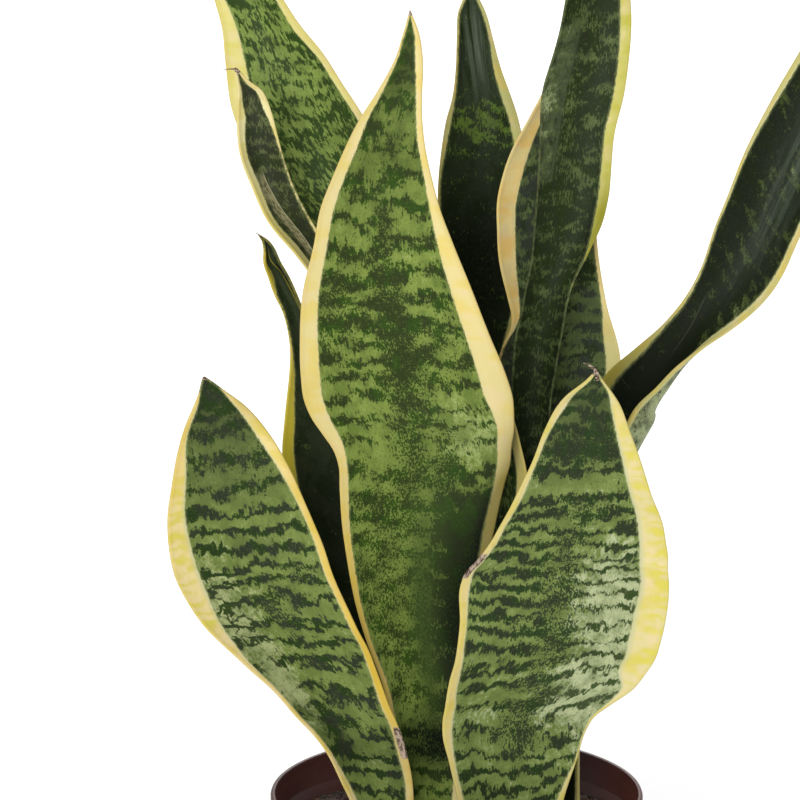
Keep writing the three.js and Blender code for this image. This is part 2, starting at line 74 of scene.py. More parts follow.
# Levels of each leaf from its foot upwards, in millimetres:
# height, left edge x and y, right edge x and y, hollow, left and right margin widths, and
# how much higher the right edge is than the left where the level isn't flat. They started as
# edge points read by eye, which a separate script turned into millimetres at these heights.
LEVELS: dict[str, Levels] = {
    "leaf_front_left": (
        (LEAF_FOOT, -35, -32, -16, -24, 4, 2, 2.5),
        (125, -36.5, -33, -16, -24, 5, 2, 2.5),
        (140, -42.5, -35, -17, -25, 6, 2.5, 2.5),
        (150, -46.7, -37, -19, -25, 7, 1.5, 3),
        (160, -52.8, -39, -22, -26, 7.5, 1.3, 2.6),
        (168, -59.2, -41, -25.5, -26, 7.5, 1.3, 2.6),
        (180, -69, -43, -29.5, -27, 8, 1.4, 2.4),
        (190, -79.2, -44, -33, -29, 9, 2.4, 2.2),
        (200, -88.7, -46, -37.5, -31, 9, 5.5, 2.2),
        (210, -96, -47, -42, -32, 9, 8, 2.2),
        (220, -101, -48, -46, -34, 8.5, 9.5, 2.5),
        (232, -104, -48, -49.7, -35, 8, 8.5, 2.5),
        (246, -104.4, -49, -55, -38, 7, 6.5, 2.5),
        (262, -102, -50, -61.2, -42, 5, 4.5, 4),
        (274, -99.5, -51, -67.7, -45, 4, 2, 5),
        (286, -95, -54, -76.7, -49, 2.5, 1.4, 3.2),
        (293, -92.3, -55, -85, -52, 1, 0, 0),
        (298, -91, -57, -90, -57, 0, 0, 0),
    ),
    "leaf_centre_front": (
        (LEAF_FOOT, -18, -13, 0, -8, 3.5, 1.5, 2),
        (130, -20, -14, 1.5, -8, 4.5, 1.5, 2.5),
        (150, -23, -14, 3.5, -8, 5.5, 1.5, 2.5),
        (170, -27, -15, 5.5, -8, 6.5, 1.5, 2.5),
        (190, -34, -16, 7.5, -8, 8, 1.5, 3),
        (210, -39, -17, 10, -9, 8.5, 2, 3),
        (230, -42, -18, 13.5, -10, 9, 2.5, 3.5),
        (248, -43, -18, 17, -11, 9, 3, 3.5),
        (256, -43.5, -18, 19, -12, 9, 3, 4.5),
        (262, -45.5, -18, 19.5, -12, 9, 4, 5),
        (268, -49.5, -18, 20.5, -13, 9, 5.5, 6),
        (274, -53.5, -18, 20.5, -13, 9, 6.5, 7.5),
        (280, -56, -18, 20, -13, 9, 7, 10),
        (290, -57.3, -19, 17, -14, 8.5, 7, 10),
        (304, -57.5, -20, 11.5, -16, 8, 6.5, 9),
        (322, -56, -22, 4.7, -18, 8, 5.7, 8),
        (340, -52.5, -24, -2.5, -20, 7, 5, 5.5),
        (352, -50, -25, -7, -22, 6, 5, 3.5),
        (364, -45.5, -26, -10, -24, 5, 4.5, 2.5),
        (375, -41, -27, -12, -26, 4, 4.3, 2.3),
        (386, -35.6, -28, -13.2, -27, 3.2, 2.8, 2),
        (395, -29.9, -29, -13.5, -28.5, 2.5, 1.7, 2),
        (408, -22.7, -30, -13.5, -30, 1.5, 0.5, 2.5),
        (417, -20, -31, -14.7, -31, 0.8, 0.3, 1.5),
        (425, -18, -32, -17.5, -32, 0, 0.5, 0.5),
    ),
    "leaf_front_right": (
        (LEAF_FOOT, 2, -27, 37, -21, 5, 2, 2),
        (130, 0.5, -29, 39.5, -22, 7, 2, 2),
        (146, -3, -31, 44, -24, 8, 2, 0.5),
        (158, -5.5, -32, 47.5, -25, 8.5, 3.5, 0.6),
        (163, -5.5, -32, 50.2, -26, 9, 4, 0.8),
        (168, -4.8, -32, 56.2, -27, 9, 4, 1.4),
        (174, -4.1, -33, 64, -28, 9.5, 3.5, 4),
        (180, -3, -34, 68.4, -29, 10, 3.5, 9.5),
        (186, -1.5, -35, 71.9, -30, 10, 3, 10.5),
        (193, -0.5, -36, 73.9, -31, 10, 2.5, 11.5),
        (202, 0.5, -36, 75.6, -32, 10, 2.5, 11.5),
        (217, 0.7, -37, 76.4, -34, 9.5, 3.5, 10),
        (222, 2.5, -38, 75.9, -35, 9, 3, 10),
        (226, 6.5, -38, 75.9, -35, 9, 2.5, 10),
        (232, 11, -39, 74.9, -36, 8.5, 2.5, 9.5),
        (240, 15, -40, 73.4, -37, 8, 2, 9),
        (250, 19.5, -42, 69.7, -39, 7, 2.5, 8),
        (264, 26, -45, 65, -42, 5, 1.5, 6.5),
        (276, 30.2, -47, 60.8, -45, 3.8, 2, 5),
        (286, 35.3, -48, 57, -47.5, 2.8, 3, 3.2),
        (291, 39, -50, 54, -49, 2, 2, 1),
        (295, 43.7, -50, 51.3, -50.3, 1.3, 1.3, 0.3),
        (300, 48, -52, 48.5, -52, 0, 0.5, 0),
    ),
    "leaf_left_narrow": (
        (LEAF_FOOT, -29.5, -6, -15.5, -4, 3, 1.5, 1.5),
        (140, -33.5, -6, -16.5, -4, 4, 2, 1.5),
        (175, -41.5, -5, -17.5, -3, 6, 2.5, 1.5),
        (205, -51.5, -5, -19, -2, 8, 3.5, 2),
        (220, -57, -5, -20, -1, 9, 4, 2),
        (235, -60.9, -5, -22, 0, 10, 4.5, 2),
        (248, -63.8, -5, -24, 0, 10, 5, 2),
        (258, -64.5, -4, -26.5, 1, 9, 4.5, 2),
        (268, -63.6, -3, -30, 1, 8, 4, 2),
        (276, -62.8, -2, -33.5, 2, 7, 3, 2),
        (285, -61.9, -1, -39, 2, 6, 2, 2),
        (293, -61.6, 0, -44, 2, 5, 0.8, 2),
        (302, -62.4, 0, -51, 2, 4.5, 0, 0),
        (310, -64.4, 0, -56.2, 1, 4, 0, 0),
        (316, -67, -1, -58.5, 0, 4, 0.4, 0),
        (323, -68.9, -3, -61.5, -1, 4, 1.8, 0),
        (329.5, -70.5, -5, -65, -2, 3.5, 1.2, 0),
        (334, -70.6, -5, -66.8, -3, 2, 0, 0),
        (337, -71.3, -5, -68.8, -4, 1, 0, 0),
        (340.3, -73.6, -5, -73.2, -5, 0, 0, 0),
    ),
    "leaf_folded_left": (
        (LEAF_FOOT, -13.5, 2, 1.5, 1, 3.5, 1.5, 1.5),
        (145, -14.5, 2, 1.5, 1, 4.5, 1.5, 1.5),
        (185, -16, 1, 0, 1, 6, 2, 1.5),
        (225, -18.5, 0, -3.5, 1, 7, 2, 2),
        (262, -24.5, 0, -10.5, 2, 8, 2.5, 2),
        (295, -35, 0, -23, 3, 9, 3, 2),
        (320, -50.5, 0, -38.5, 3, 9, 3.5, 2),
        (332, -59.6, 0, -46.5, 3, 8.5, 4, 1.6),
        (345, -69.5, -1, -54.5, 2, 8, 3, 0.1),
        (356, -75, -1, -60.5, 2, 7, 3.5, 0.1),
        (368, -79, -2, -64, 1, 6, 3, 0.1),
        (376, -80, -2, -66, 0, 5, 3, 0.6),
        (382, -80, -3, -67.5, -1, 4.5, 3.5, 1.6),
        (387, -79.7, -3, -69, -1, 4, 2, 2.4),
        (392, -79.3, -4, -71.3, -2, 3, 1.2, 2.2),
        (396, -80, -4, -76.2, -3, 2, 0.8, 1.2),
        (398.5, -80.6, -4, -78.3, -4, 1, 0.4, 0.3),
        (400.5, -81, -5, -79.9, -5, 0, 0, 0),
    ),
    "leaf_back_left": (
        (LEAF_FOOT, 3.5, 5, 15.5, -1, 3.5, 2, 2),
        (150, 0, 6, 18, -2, 5, 2, 2),
        (199.5, -5.5, 12, 21.5, -5, 6, 3, 3),
        (239, -13.5, 17, 25, -6, 7, 3.5, 4.5),
        (250, -17.5, 19, 25, -6, 7, 3.5, 5),
        (258, -20, 20, 23.5, -5, 7, 3.5, 4.5),
        (266.5, -23.5, 21, 21.5, -5, 7, 3.5, 4.5),
        (298, -40, 25, 10.5, 2, 7, 4, 4),
        (332, -61, 29, -7, 12, 7, 4.5, 3.5),
        (366.5, -79, 33, -27.5, 22, 7, 7, 3),
        (381, -84, 35, -36.5, 25, 6.5, 8, 3),
        (396.5, -86, 37, -47, 29, 6, 7, 3),
        (410, -87.5, 39, -57.5, 32, 5.5, 5, 4),
        (421, -90.5, 40, -65, 34, 5, 3.5, 3),
        (432, -93.5, 41, -73, 36, 4.5, 2.5, 2.5),
        (443.5, -95.8, 43, -83.3, 39, 3.5, 1.5, 1.5),
        (457.5, -96.8, 45, -95.3, 42, 1.5, 0.5, 0.5),
        (469, -96.5, 48, -96, 48, 0, 0.5, 0.5),
    ),
    "leaf_back_centre": (
        (LEAF_FOOT, -9, 24, 3, 25, 3, 1.5, 2),
        (150, -7.5, 26, 4.5, 27, 4, 1.5, 2),
        (199, -4.5, 32, 6.5, 32, 5, 1.5, 2),
        (248, -4, 37, 9, 36, 6, 1, 2.5),
        (287.5, -5.5, 42, 19.8, 40, 6.5, 0.6, 2.5),
        (310, -7, 44, 25, 43, 6.5, 0.6, 2.5),
        (322, -7.5, 45, 26.2, 44, 6.5, 0.6, 3),
        (336, -7, 47, 26.5, 46, 6.5, 0.6, 3),
        (351.5, -6.5, 49, 26.5, 48, 6, 0.6, 3.5),
        (362, -5.5, 50, 25.5, 49, 5.5, 1.2, 3.5),
        (372, -4, 51, 23.5, 51, 5.5, 1.5, 3.5),
        (381, -1.7, 52, 20.5, 52, 5, 0.6, 3.5),
        (392, -0.4, 54, 16.5, 54, 4.5, 0.3, 2.5),
        (403.5, 0.1, 56, 13, 56, 3.5, 0.3, 1),
        (412, 0.6, 57, 10.5, 57, 2.5, 0.3, 1),
        (421, 4, 58, 6.5, 58, 1, 0.5, 0.5),
        (429.5, 5, 59, 5, 59, 0, 0.5, 0.5),
    ),
    "leaf_tall_right": (
        (LEAF_FOOT, 19.5, 3, 32, 1, 3.5, 1, 1),
        (150, 19.5, 3, 32, 1, 4.5, 1, 1),
        (200, 20, 4, 32.5, 2, 5, 1, 1),
        (250, 19.5, 5, 33.5, 3, 5.5, 1, 1),
        (262, 19.5, 5, 34, 3, 5.5, -0.5, -0.5),
        (275, 19.8, 4, 34.5, 4, 6, -0.5, -0.5),
        (288, 20.3, 4, 36.5, 4, 6, -0.5, -0.5),
        (295, 20.8, 4, 37.3, 4, 6, -0.5, -0.5),
        (301, 21.6, 3, 38.3, 4, 6, -0.5, -0.5),
        (306.5, 22.9, 3, 39.2, 4, 6, -0.5, -0.4),
        (318, 24.5, 2, 42, 5, 6, -0.5, -0.2),
        (330, 27, 2, 47.5, 5, 6, -0.5, 0.2),
        (342, 28, 1, 53, 6, 6, -0.5, 2.8),
        (352, 28.5, 1, 55, 6, 6, -0.5, 3.4),
        (362, 29.1, 1, 55.7, 6, 6, -0.5, 3.2),
        (374, 29.5, 1, 56.9, 7, 6.3, -0.5, 3.2),
        (390, 30.5, 0, 60.5, 7, 6.5, -0.5, 3.4),
        (402, 33.5, 0, 62, 8, 6.5, -0.5, 3.4),
        (415, 36.5, 0, 62.5, 8, 6.5, -0.5, 3.5),
        (430, 39.5, 0, 61.5, 8, 6, -0.5, 3),
        (445, 43.5, 0, 60, 8, 6, -0.5, 2.5),
        (456, 46, 1, 57.5, 7, 4.5, -0.5, 2),
        (466, 48, 1, 54.7, 7, 2.5, -0.5, 1.5),
        (476, 50, 3, 51, 5, 1.5, -0.5, 1),
        (483.9, 50, 4, 50.5, 4, 0, 0.5, 0.5),
    ),
    "leaf_mid_right": (
        (LEAF_FOOT, 20.5, 16, 35.5, 14, 3.5, 1, 2),
        (144, 20, 17, 37.5, 15, 5, 1, 2.5),
        (182, 19, 19, 41, 18, 6, 1, 3),
        (220, 18, 19, 47.5, 20, 7.5, 0.6, 3.5),
        (240, 17.4, 19, 52.5, 22, 8, 0.3, 4),
        (250, 17.2, 19, 55.3, 23, 8.5, 0.3, 4.3),
        (258, 16.5, 19, 57.5, 24, 9, 0.3, 4.6),
        (264.5, 16, 19, 59, 24.5, 9, 0.3, 5),
        (272, 15.3, 19, 60, 26, 9, 0.3, 5),
        (280, 14.5, 20, 61, 27, 9, 0.3, 5),
        (286, 15.2, 19.5, 61, 27.7, 9, 0.3, 5),
        (294, 17.8, 19, 59.5, 28.2, 9, 0.3, 4.3),
        (299, 20, 19, 58, 28.4, 9, 1.3, 3.2),
        (303, 20.3, 19, 56.8, 28.6, 9, 3, 2),
        (311, 18.7, 19, 55, 29.5, 9, 5.2, 1.2),
        (318, 17.1, 19, 53.7, 30, 9, 6.8, 1),
        (326, 15.5, 20, 52.5, 31, 8.5, 8, 1),
        (336, 14.5, 20, 51.5, 31, 8.5, 9, 1),
        (346, 14.5, 21, 51, 32, 8, 9.5, 1),
        (356, 17, 23, 50.5, 33, 7, 9, 1),
        (366, 20.5, 24, 50, 34, 6.5, 9, 1),
        (376, 26, 26, 49.5, 35, 5.5, 7, 1),
        (386, 31, 28, 49, 36, 4.5, 5.5, 1),
        (396, 35.5, 30, 48, 36, 3.5, 4, 1),
        (406, 38, 32, 46.5, 37, 2, 3, 1),
        (416, 40.5, 35, 44.5, 37, 0.5, 1.5, 1),
        (421, 41.5, 37, 43, 37, 0, 1, 1),
    ),
    "leaf_right_arching": (
        (LEAF_FOOT, 36, 3, 46, -4, 3, 2, 1.5),
        (153, 34.5, 4, 45, -6, 5, 3, 1.5, -2),
        (191, 35.5, 6, 46, -8, 8, 5, 2, -4.5),
        (229, 38.5, 8, 49.5, -10, 12, 6, 2.5, -6),
        (256, 42, 9, 53.5, -12, 16, 4, 2.5, -10),
        (272, 47.5, 10, 58.5, -13, 18, 3.4, 1.6, -9),
        (285, 55.5, 10, 64, -13, 16.8, 2.6, 1.6, -9.5),
        (294.5, 66, 9.5, 72, -11, 11.5, 2, 1.6, -11.5),
        (303.5, 75.5, 8, 79.6, -9, 8.5, 0.8, 2, -12),
        (313.5, 83, 6, 88.5, -8, 7.5, 0.8, 2.5, -15.5),
        (324, 88.5, 5, 98, -6, 6.5, 0.5, 2.5, -20.5),
        (343.5, 95, 4, 112, -4, 7, 0.5, 2.5, -28.5),
        (369, 105, 6, 124.5, -2, 6, 1, 2.5, -31),
        (395.5, 118.5, 8, 137.5, 0, 5, 2, 2.5, -25.5),
        (421.5, 134.5, 10, 149.5, 4, 3.5, 2, 2, -19),
        (444.5, 150.5, 12, 160.5, 9, 1.5, 1.5, 1.5, -12),
        (465, 168, 13, 169.5, 13, 0.2, 0.5, 0.5, -1),
    ),
}


class Side(Enum):
    """Which edge of a leaf a scar lies at, seen from the front."""

    LEFT = -1
    RIGHT = 1


def tone(red: int, green: int, blue: int) -> Colour:
    """Turns a colour in screen values into the shader's linear values.

    Args:
        red: Red from 0 to 255.
        green: Green from 0 to 255.
        blue: Blue from 0 to 255.

    Returns:
        The colour in linear values with full alpha.
    """
    shares = [value / 255.0 for value in (red, green, blue)]
    return (*(s / 12.92 if s <= 0.04045 else ((s + 0.055) / 1.055) ** 2.4 for s in shares), 1.0)


def smooth(value: np.ndarray, low: float, high: float) -> np.ndarray:
    """Rises smoothly from 0 at low to 1 at high.

    Args:
        value: Numbers to place.
        low: Where the rise starts.
        high: Where it ends.

    Returns:
        Numbers from 0 to 1.
    """
    share = np.clip((value - low) / (high - low), 0.0, 1.0)
    return share * share * (3.0 - 2.0 * share)


def ripple(x: np.ndarray, y: np.ndarray, length: float, seed: int, waves: int = 7) -> np.ndarray:
    """Sums soft uneven waves over a surface, the same on every run.

    Args:
        x: First coordinate.
        y: Second coordinate.
        length: Typical distance from crest to crest.
        seed: Chooses the pattern.
        waves: How many plain waves are summed.

    Returns:
        Heights of about -1 to 1.
    """
    chance = np.random.default_rng(seed)
    total = np.zeros(np.broadcast(x, y).shape)
    for _ in range(waves):
        turn, phase = chance.uniform(0.0, TURN, 2)
        pace = TURN / (length * chance.uniform(0.6, 1.7))
        total += np.sin(pace * (x * math.cos(turn) + y * math.sin(turn)) + phase)
    return total / math.sqrt(waves)


def show(name: str, data: object) -> bpy.types.Object:
    """Adds an object to the scene.

    Args:
        name: The object's name.
        data: Its mesh, lamp or camera.

    Returns:
        The new object.
    """
    thing = bpy.data.objects.new(name, data)
    bpy.context.scene.collection.objects.link(thing)
    return thing


@dataclass
class Tree:
    """A node tree under construction, with short ways to add the usual nodes."""

    tree: bpy.types.NodeTree

    def add(self, kind: str, feeds: dict | None = None, **facts: object) -> bpy.types.Node:
        """Adds a node.

        Args:
            kind: The node's type name.
            feeds: A value or a socket to link from, by the input's name or number.
            **facts: Properties to set on it.

        Returns:
            The new node.
        """
        node = self.tree.nodes.new(kind)
        for name, value in facts.items():
            setattr(node, name, value)
        for name, value in (feeds or {}).items():
            self.feed(node.inputs[name], value)
        return node

    def feed(self, socket: Socket, value: object) -> None:
        """Links a socket, or sets its own value.

        Args:
            socket: The input to feed.
            value: A socket to link from, or a plain value.
        """
        if isinstance(value, Socket):
            self.tree.links.new(value, socket)
        else:
            socket.default_value = value

    def math(self, kind: str, *terms: object) -> Socket:
        """Adds a math node and returns its result."""
        return self.add("ShaderNodeMath", dict(enumerate(terms)), operation=kind).outputs[0]

    def plus(self, a: object, b: object) -> Socket:
        """Adds two values."""
        return self.math("ADD", a, b)

    def less(self, a: object, b: object) -> Socket:
        """Takes the second value from the first."""
        return self.math("SUBTRACT", a, b)

    def over(self, a: object, b: object) -> Socket:
        """Divides the first value by the second."""
        return self.math("DIVIDE", a, b)

    def times(self, a: object, b: object, *more: object) -> Socket:
        """Multiplies two values, and adds a third where one is given."""
        return self.math("MULTIPLY_ADD" if more else "MULTIPLY", a, b, *more)

    def rise(self, value: Socket, low: object, high: object,
             start: float = 0.0, end: float = 1.0) -> Socket:
        """Adds a smooth step.

        Args:
            value: What is placed between low and high.
            low: Where the step starts.
            high: Where it ends.
            start: Result below the step.
            end: Result above the step.

        Returns:
            The result socket.
        """
        feeds = dict(enumerate((value, low, high, start, end)))
        return self.add("ShaderNodeMapRange", feeds, interpolation_type="SMOOTHSTEP").outputs[0]

    def noise(self, place: Socket, scale: float = 1.0, detail: float = 2.0,
              roughness: float = 0.5) -> Socket:
        """Adds a noise texture.

        Args:
            place: The coordinate it reads.
            scale: Its scale.
            detail: Octaves of finer noise.
            roughness: How strong the finer noise is.

        Returns:
            The noise value socket.
        """
        return self.add("ShaderNodeTexNoise", {"Vector": place, "Scale": scale, "Detail": detail,
                                               "Roughness": roughness}).outputs[0]

    def place(self, x: object, y: object, z: object = 0.0) -> Socket:
        """Adds a coordinate from three values and returns it."""
        return self.add("ShaderNodeCombineXYZ", {0: x, 1: y, 2: z}).outputs[0]

    def blend(self, share: Socket, first: object, second: object) -> Socket:
        """Mixes two colours, the first at a share of 0 and the second at 1."""
        feeds = {0: share, 6: first, 7: second}
        return self.add("ShaderNodeMix", feeds, data_type="RGBA").outputs[2]

    def bump(self, height: Socket, strength: float, distance: float) -> Socket:
        """Turns a height into a bumped normal and returns it."""
        return self.add("ShaderNodeBump", {"Strength": strength, "Distance": distance,
                                           "Height": height}).outputs[0]

    def mark(self, name: str) -> Socket:
        """Reads a number kept on the mesh and returns its socket."""
        return self.add("ShaderNodeAttribute", attribute_name=name).outputs["Fac"]

    def use(self, group: bpy.types.NodeTree, **values: object) -> bpy.types.NodeOutputs:
        """Adds a shared effect, with its inputs by name, and returns its outputs."""
        return self.add("ShaderNodeGroup", values, node_tree=group).outputs


class NodeGroup(Tree):
    """A node group with named inputs and outputs."""

    def __init__(self, name: str, kind: str, inputs: dict[str, object],
                 outputs: dict[str, str]) -> None:
        """Starts the group with its sockets.

        Args:
            name: The group's name.
            kind: Its tree type.
            inputs: Input names with their usual numbers, or with their socket types.
            outputs: Output names with their socket types.
        """
        group = bpy.data.node_groups.new(name, kind)
        for label, value in inputs.items():
            socket = group.interface.new_socket(
                label, in_out="INPUT", socket_type=NUMBER_SOCKETS.get(type(value), value))
            if type(value) in NUMBER_SOCKETS:
                socket.default_value = value
        for label, value in outputs.items():
            group.interface.new_socket(label, in_out="OUTPUT", socket_type=value)
        super().__init__(group)
        self.given = self.add("NodeGroupInput").outputs
        self.result = self.add("NodeGroupOutput").inputs


class MaterialTree(Tree):
    """The node tree of a new material."""

    def __init__(self, name: str) -> None:
        """Starts an empty material.

        Args:
            name: The material's name.
        """
        self.material = bpy.data.materials.new(name)
        self.material.use_nodes = True
        self.material.node_tree.nodes.clear()
        super().__init__(self.material.node_tree)

    def finish(self, colour: Socket, roughness: Socket, normal: Socket,
               **fixed: float) -> bpy.types.Material:
        """Ends the material with its surface.

        Args:
            colour: Its base colour.
            roughness: Its roughness.
            normal: Its bumped normal.
            **fixed: Other inputs of the surface that are the same all over.

        Returns:
            The finished material.
        """
        feeds = {"Base Color": colour, "Roughness": roughness, "Normal": normal, **fixed}
        shader = self.add("ShaderNodeBsdfPrincipled", feeds)
        self.add("ShaderNodeOutputMaterial", {"Surface": shader.outputs[0]})
        return self.material


def cross_bands() -> bpy.types.NodeTree:
    """Builds the dark cross bands of a leaf, with edges combed along the fibres.

    Phase counts the bands from the leaf's foot, with the middle of each at a whole number.

    Returns:
        A group whose inputs are in millimetres and whose outputs are masks.
    """
    inputs = ("Phase", "Along", "Across", "Bias", "Sand", "Seed", "Pitch", "Sway", "Comb",
              "Patches", "Fleck", "Bold", "Blot", "Stretch", "Net")
    outputs = ("Dark", "Fibre", "Cloud", "Speck", "Grit", "Gloss")
    t = NodeGroup("Cross bands", "ShaderNodeTree", dict.fromkeys(inputs, 0.0),
                  dict.fromkeys(outputs, FLOAT))
    g = t.given
    along, across, seed = g["Along"], g["Across"], g["Seed"]
    other, third = t.plus(seed, 17.3), t.plus(seed, 41.9)

    def grain(wide: float, tall: object, z: Socket, detail: float = 2.0,
              roughness: float = 0.5) -> Socket:
        """Adds noise centred on zero, with grains of a size in millimetres."""
        place = t.place(t.over(across, wide), t.over(along, tall), z)
        return t.less(t.noise(place, detail=detail, roughness=roughness), 0.5)

    kink = grain(2.4, 3.4, other)
    shift = t.times(kink, 6.0, t.times(grain(9.0, 12.0, seed, 1.5), g["Sway"]))
    shift = t.times(grain(0.8, 6.0, other, 2.0, 0.6), g["Comb"], shift)
    wave = t.math("PINGPONG", t.plus(g["Phase"], t.over(shift, g["Pitch"])), 0.5)
    # the Streak noise shapes the pale streaks of painted sheen
    noises = {"Fibre": grain(0.5, 2.0, other, 3.0, 0.7), "Cloud": grain(7.0, 9.0, third, 3.0),
              "Speck": grain(1.7, g["Stretch"], third, 2.0, 0.6),
              "Grit": grain(0.75, g["Fleck"], seed, 2.5, 0.7),
              "Gloss": grain(2.2, 34.0, third, 3.0, 0.6)}
    blot, grit = noises["Speck"], noises["Grit"]

    bent = t.times(grain(3.0, 3.4, other), 1.8, t.over(across, 6.4))
    cells = t.add("ShaderNodeTexVoronoi", voronoi_dimensions="2D", feature="DISTANCE_TO_EDGE")
    t.feed(cells.inputs["Scale"], 1.0)
    t.feed(cells.inputs["Vector"], t.place(bent, t.over(t.plus(along, seed), 5.4)))
    border = t.times(blot, 0.35, t.times(grit, 0.3, cells.outputs["Distance"]))
    net = t.rise(border, 0.22, 0.05, -0.3, 0.9)

    strength = t.rise(g["Sand"], 0.0, 1.0, g["Bold"], 0.3)
    strength = t.times(strength, t.rise(g["Net"], 0.0, 1.0, 1.0, 0.35))
    total = t.times(t.less(0.38, t.times(wave, 2.0)), strength)
    total = t.times(grain(9.0, 6.0, third, 2.5, 0.6), g["Patches"], total)
    total = t.times(blot, g["Blot"], total)
    total = t.times(net, g["Net"], total)
    total = t.times(grit, t.times(g["Sand"], 3.6, 0.65), total)
    t.feed(t.result["Dark"], t.rise(t.plus(total, g["Bias"]), -0.18, 0.18))
    for name, value in noises.items():
        t.feed(t.result[name], t.plus(value, 0.5))
    return t.tree


def leaf_relief() -> bpy.types.NodeTree:
    """Builds the fine lengthwise relief of a waxy leaf.

    Returns:
        A group that puts out a normal and a shift of the roughness.
    """
    t = NodeGroup("Leaf relief", "ShaderNodeTree", {"Along": 0.0, "Across": 0.0, "Seed": 0.0},
                  {"Normal": VECTOR, "Sheen": FLOAT})
    g = t.given

    def grain(wide: float, tall: float, detail: float, roughness: float) -> Socket:
        """Adds noise with grains of a size in millimetres."""
        place = t.place(t.over(g["Across"], wide), t.over(g["Along"], tall), g["Seed"])
        return t.noise(place, detail=detail, roughness=roughness)

    broad = grain(7.0, 11.0, 2.0, 0.5)
    height = t.times(grain(0.7, 9.0, 3.0, 0.6), 0.45, t.times(broad, 1.6))
    height = t.times(grain(0.3, 0.5, 2.0, 0.5), 0.18, height)
    t.feed(t.result["Normal"], t.bump(height, 0.35, 0.0004))
    t.feed(t.result["Sheen"], t.less(broad, 0.5))
    return t.tree


@dataclass(frozen=True)
class Patch:
    """A soft patch of a leaf where its marks differ.

    The height and the half height (tall) are in millimetres, and the lean and the half width
    (wide) are shares of the leaf's half width. The other numbers are added in the middle of
    the patch: shade darkens the bands, sand breaks them into grains, dull mutes the light
    green, bloom pales it, flat evens it out, gloom paints shade that darkens everything,
    streak paints pale streaks of sheen along the leaf, ripe tints the margin and net draws a
    net of dark lines. A rear patch is on the leaf's rear face alone.
    """

    height: float
    lean: float
    tall: float
    wide: float
    shade: float = 0.0
    sand: float = 0.0
    dull: float = 0.0
    bloom: float = 0.0
    flat: float = 0.0
    gloom: float = 0.0
    streak: float = 0.0
    ripe: float = 0.0
    net: float = 0.0
    rear: bool = False

    def share(self, height: np.ndarray, lean: np.ndarray) -> np.ndarray:
        """Returns how much of the patch shows at each point, from 0 to 1."""
        up, out = (height - self.height) / self.tall, (lean - self.lean) / self.wide
        return np.exp(-(up ** 2 + out ** 2))


@dataclass(frozen=True)
class LeafMarks:
    """How one leaf is coloured and marked, with sizes in millimetres.

    The cross bands have a pitch, sway by broad noise and are combed by fine noise. Where they
    are placed one by one, each of the bands gives its heights at BAND_LEANS, worked out by a
    separate script from points read by eye. Bold makes them clearer and bias darker. Patches is
    the strength of broad dark patches, blot that of grains as long as stretch, and sand that of
    fine grains as long as fleck. Light, pale and middle colour the green, dark and deep the
    bands, and shadow is the painted shade over the green. Cream and yellow colour the margin,
    edge its rim, shaded_margin the painted shade over it and ripe its ripe ones. Stripes and
    haze are the strengths of the margin's stripes and of the haze along its border, and
    rear_margin is how much broader it is on the rear face. The leaf is brown over the last
    dry_tip. A fold is a line of heights and leans; facet paints a pale highlight along its left
    side.
    """

    seed: int
    pitch: float = 7.0
    sway: float = 8.0
    comb: float = 3.0
    patches: float = 1.6
    fleck: float = 1.15
    bold: float = 1.0
    blot: float = 1.1
    stretch: float = 2.4
    bias: float = 0.0
    sand: float = 0.2
    light: Colour = tone(118, 136, 68)
    pale: Colour = tone(168, 180, 128)
    dark: Colour = tone(36, 46, 36)
    deep: Colour = tone(36, 56, 20)
    middle: Colour = tone(82, 100, 46)
    # shadow and shaded_margin are the tones of the painted shade, on the green and on the margin
    shadow: Colour = tone(14, 19, 8)
    cream: Colour = tone(238, 220, 156)
    yellow: Colour = tone(226, 204, 112)
    edge: Colour = tone(204, 176, 84)
    shaded_margin: Colour = tone(168, 146, 78)
    ripe: Colour = tone(214, 180, 60)
    rear_margin: float = 0.0
    dry_tip: float = 3.0
    stripes: float = 0.0
    haze: float = 0.2
    fold: tuple[tuple[float, float], ...] = ()
    fold_width: float = 0.5
    fold_soft: float = 0.3
    fold_fade: float = 5.0
    fold_tone: Colour = tone(134, 142, 96)
    # a painted highlight beside the fold: its strength, tone and width
    facet: float = 0.0
    highlight_tone: Colour = tone(112, 124, 96)
    highlight_width: float = 60.0
    bands: tuple[Band, ...] = ()
    patched: tuple[Patch, ...] = ()


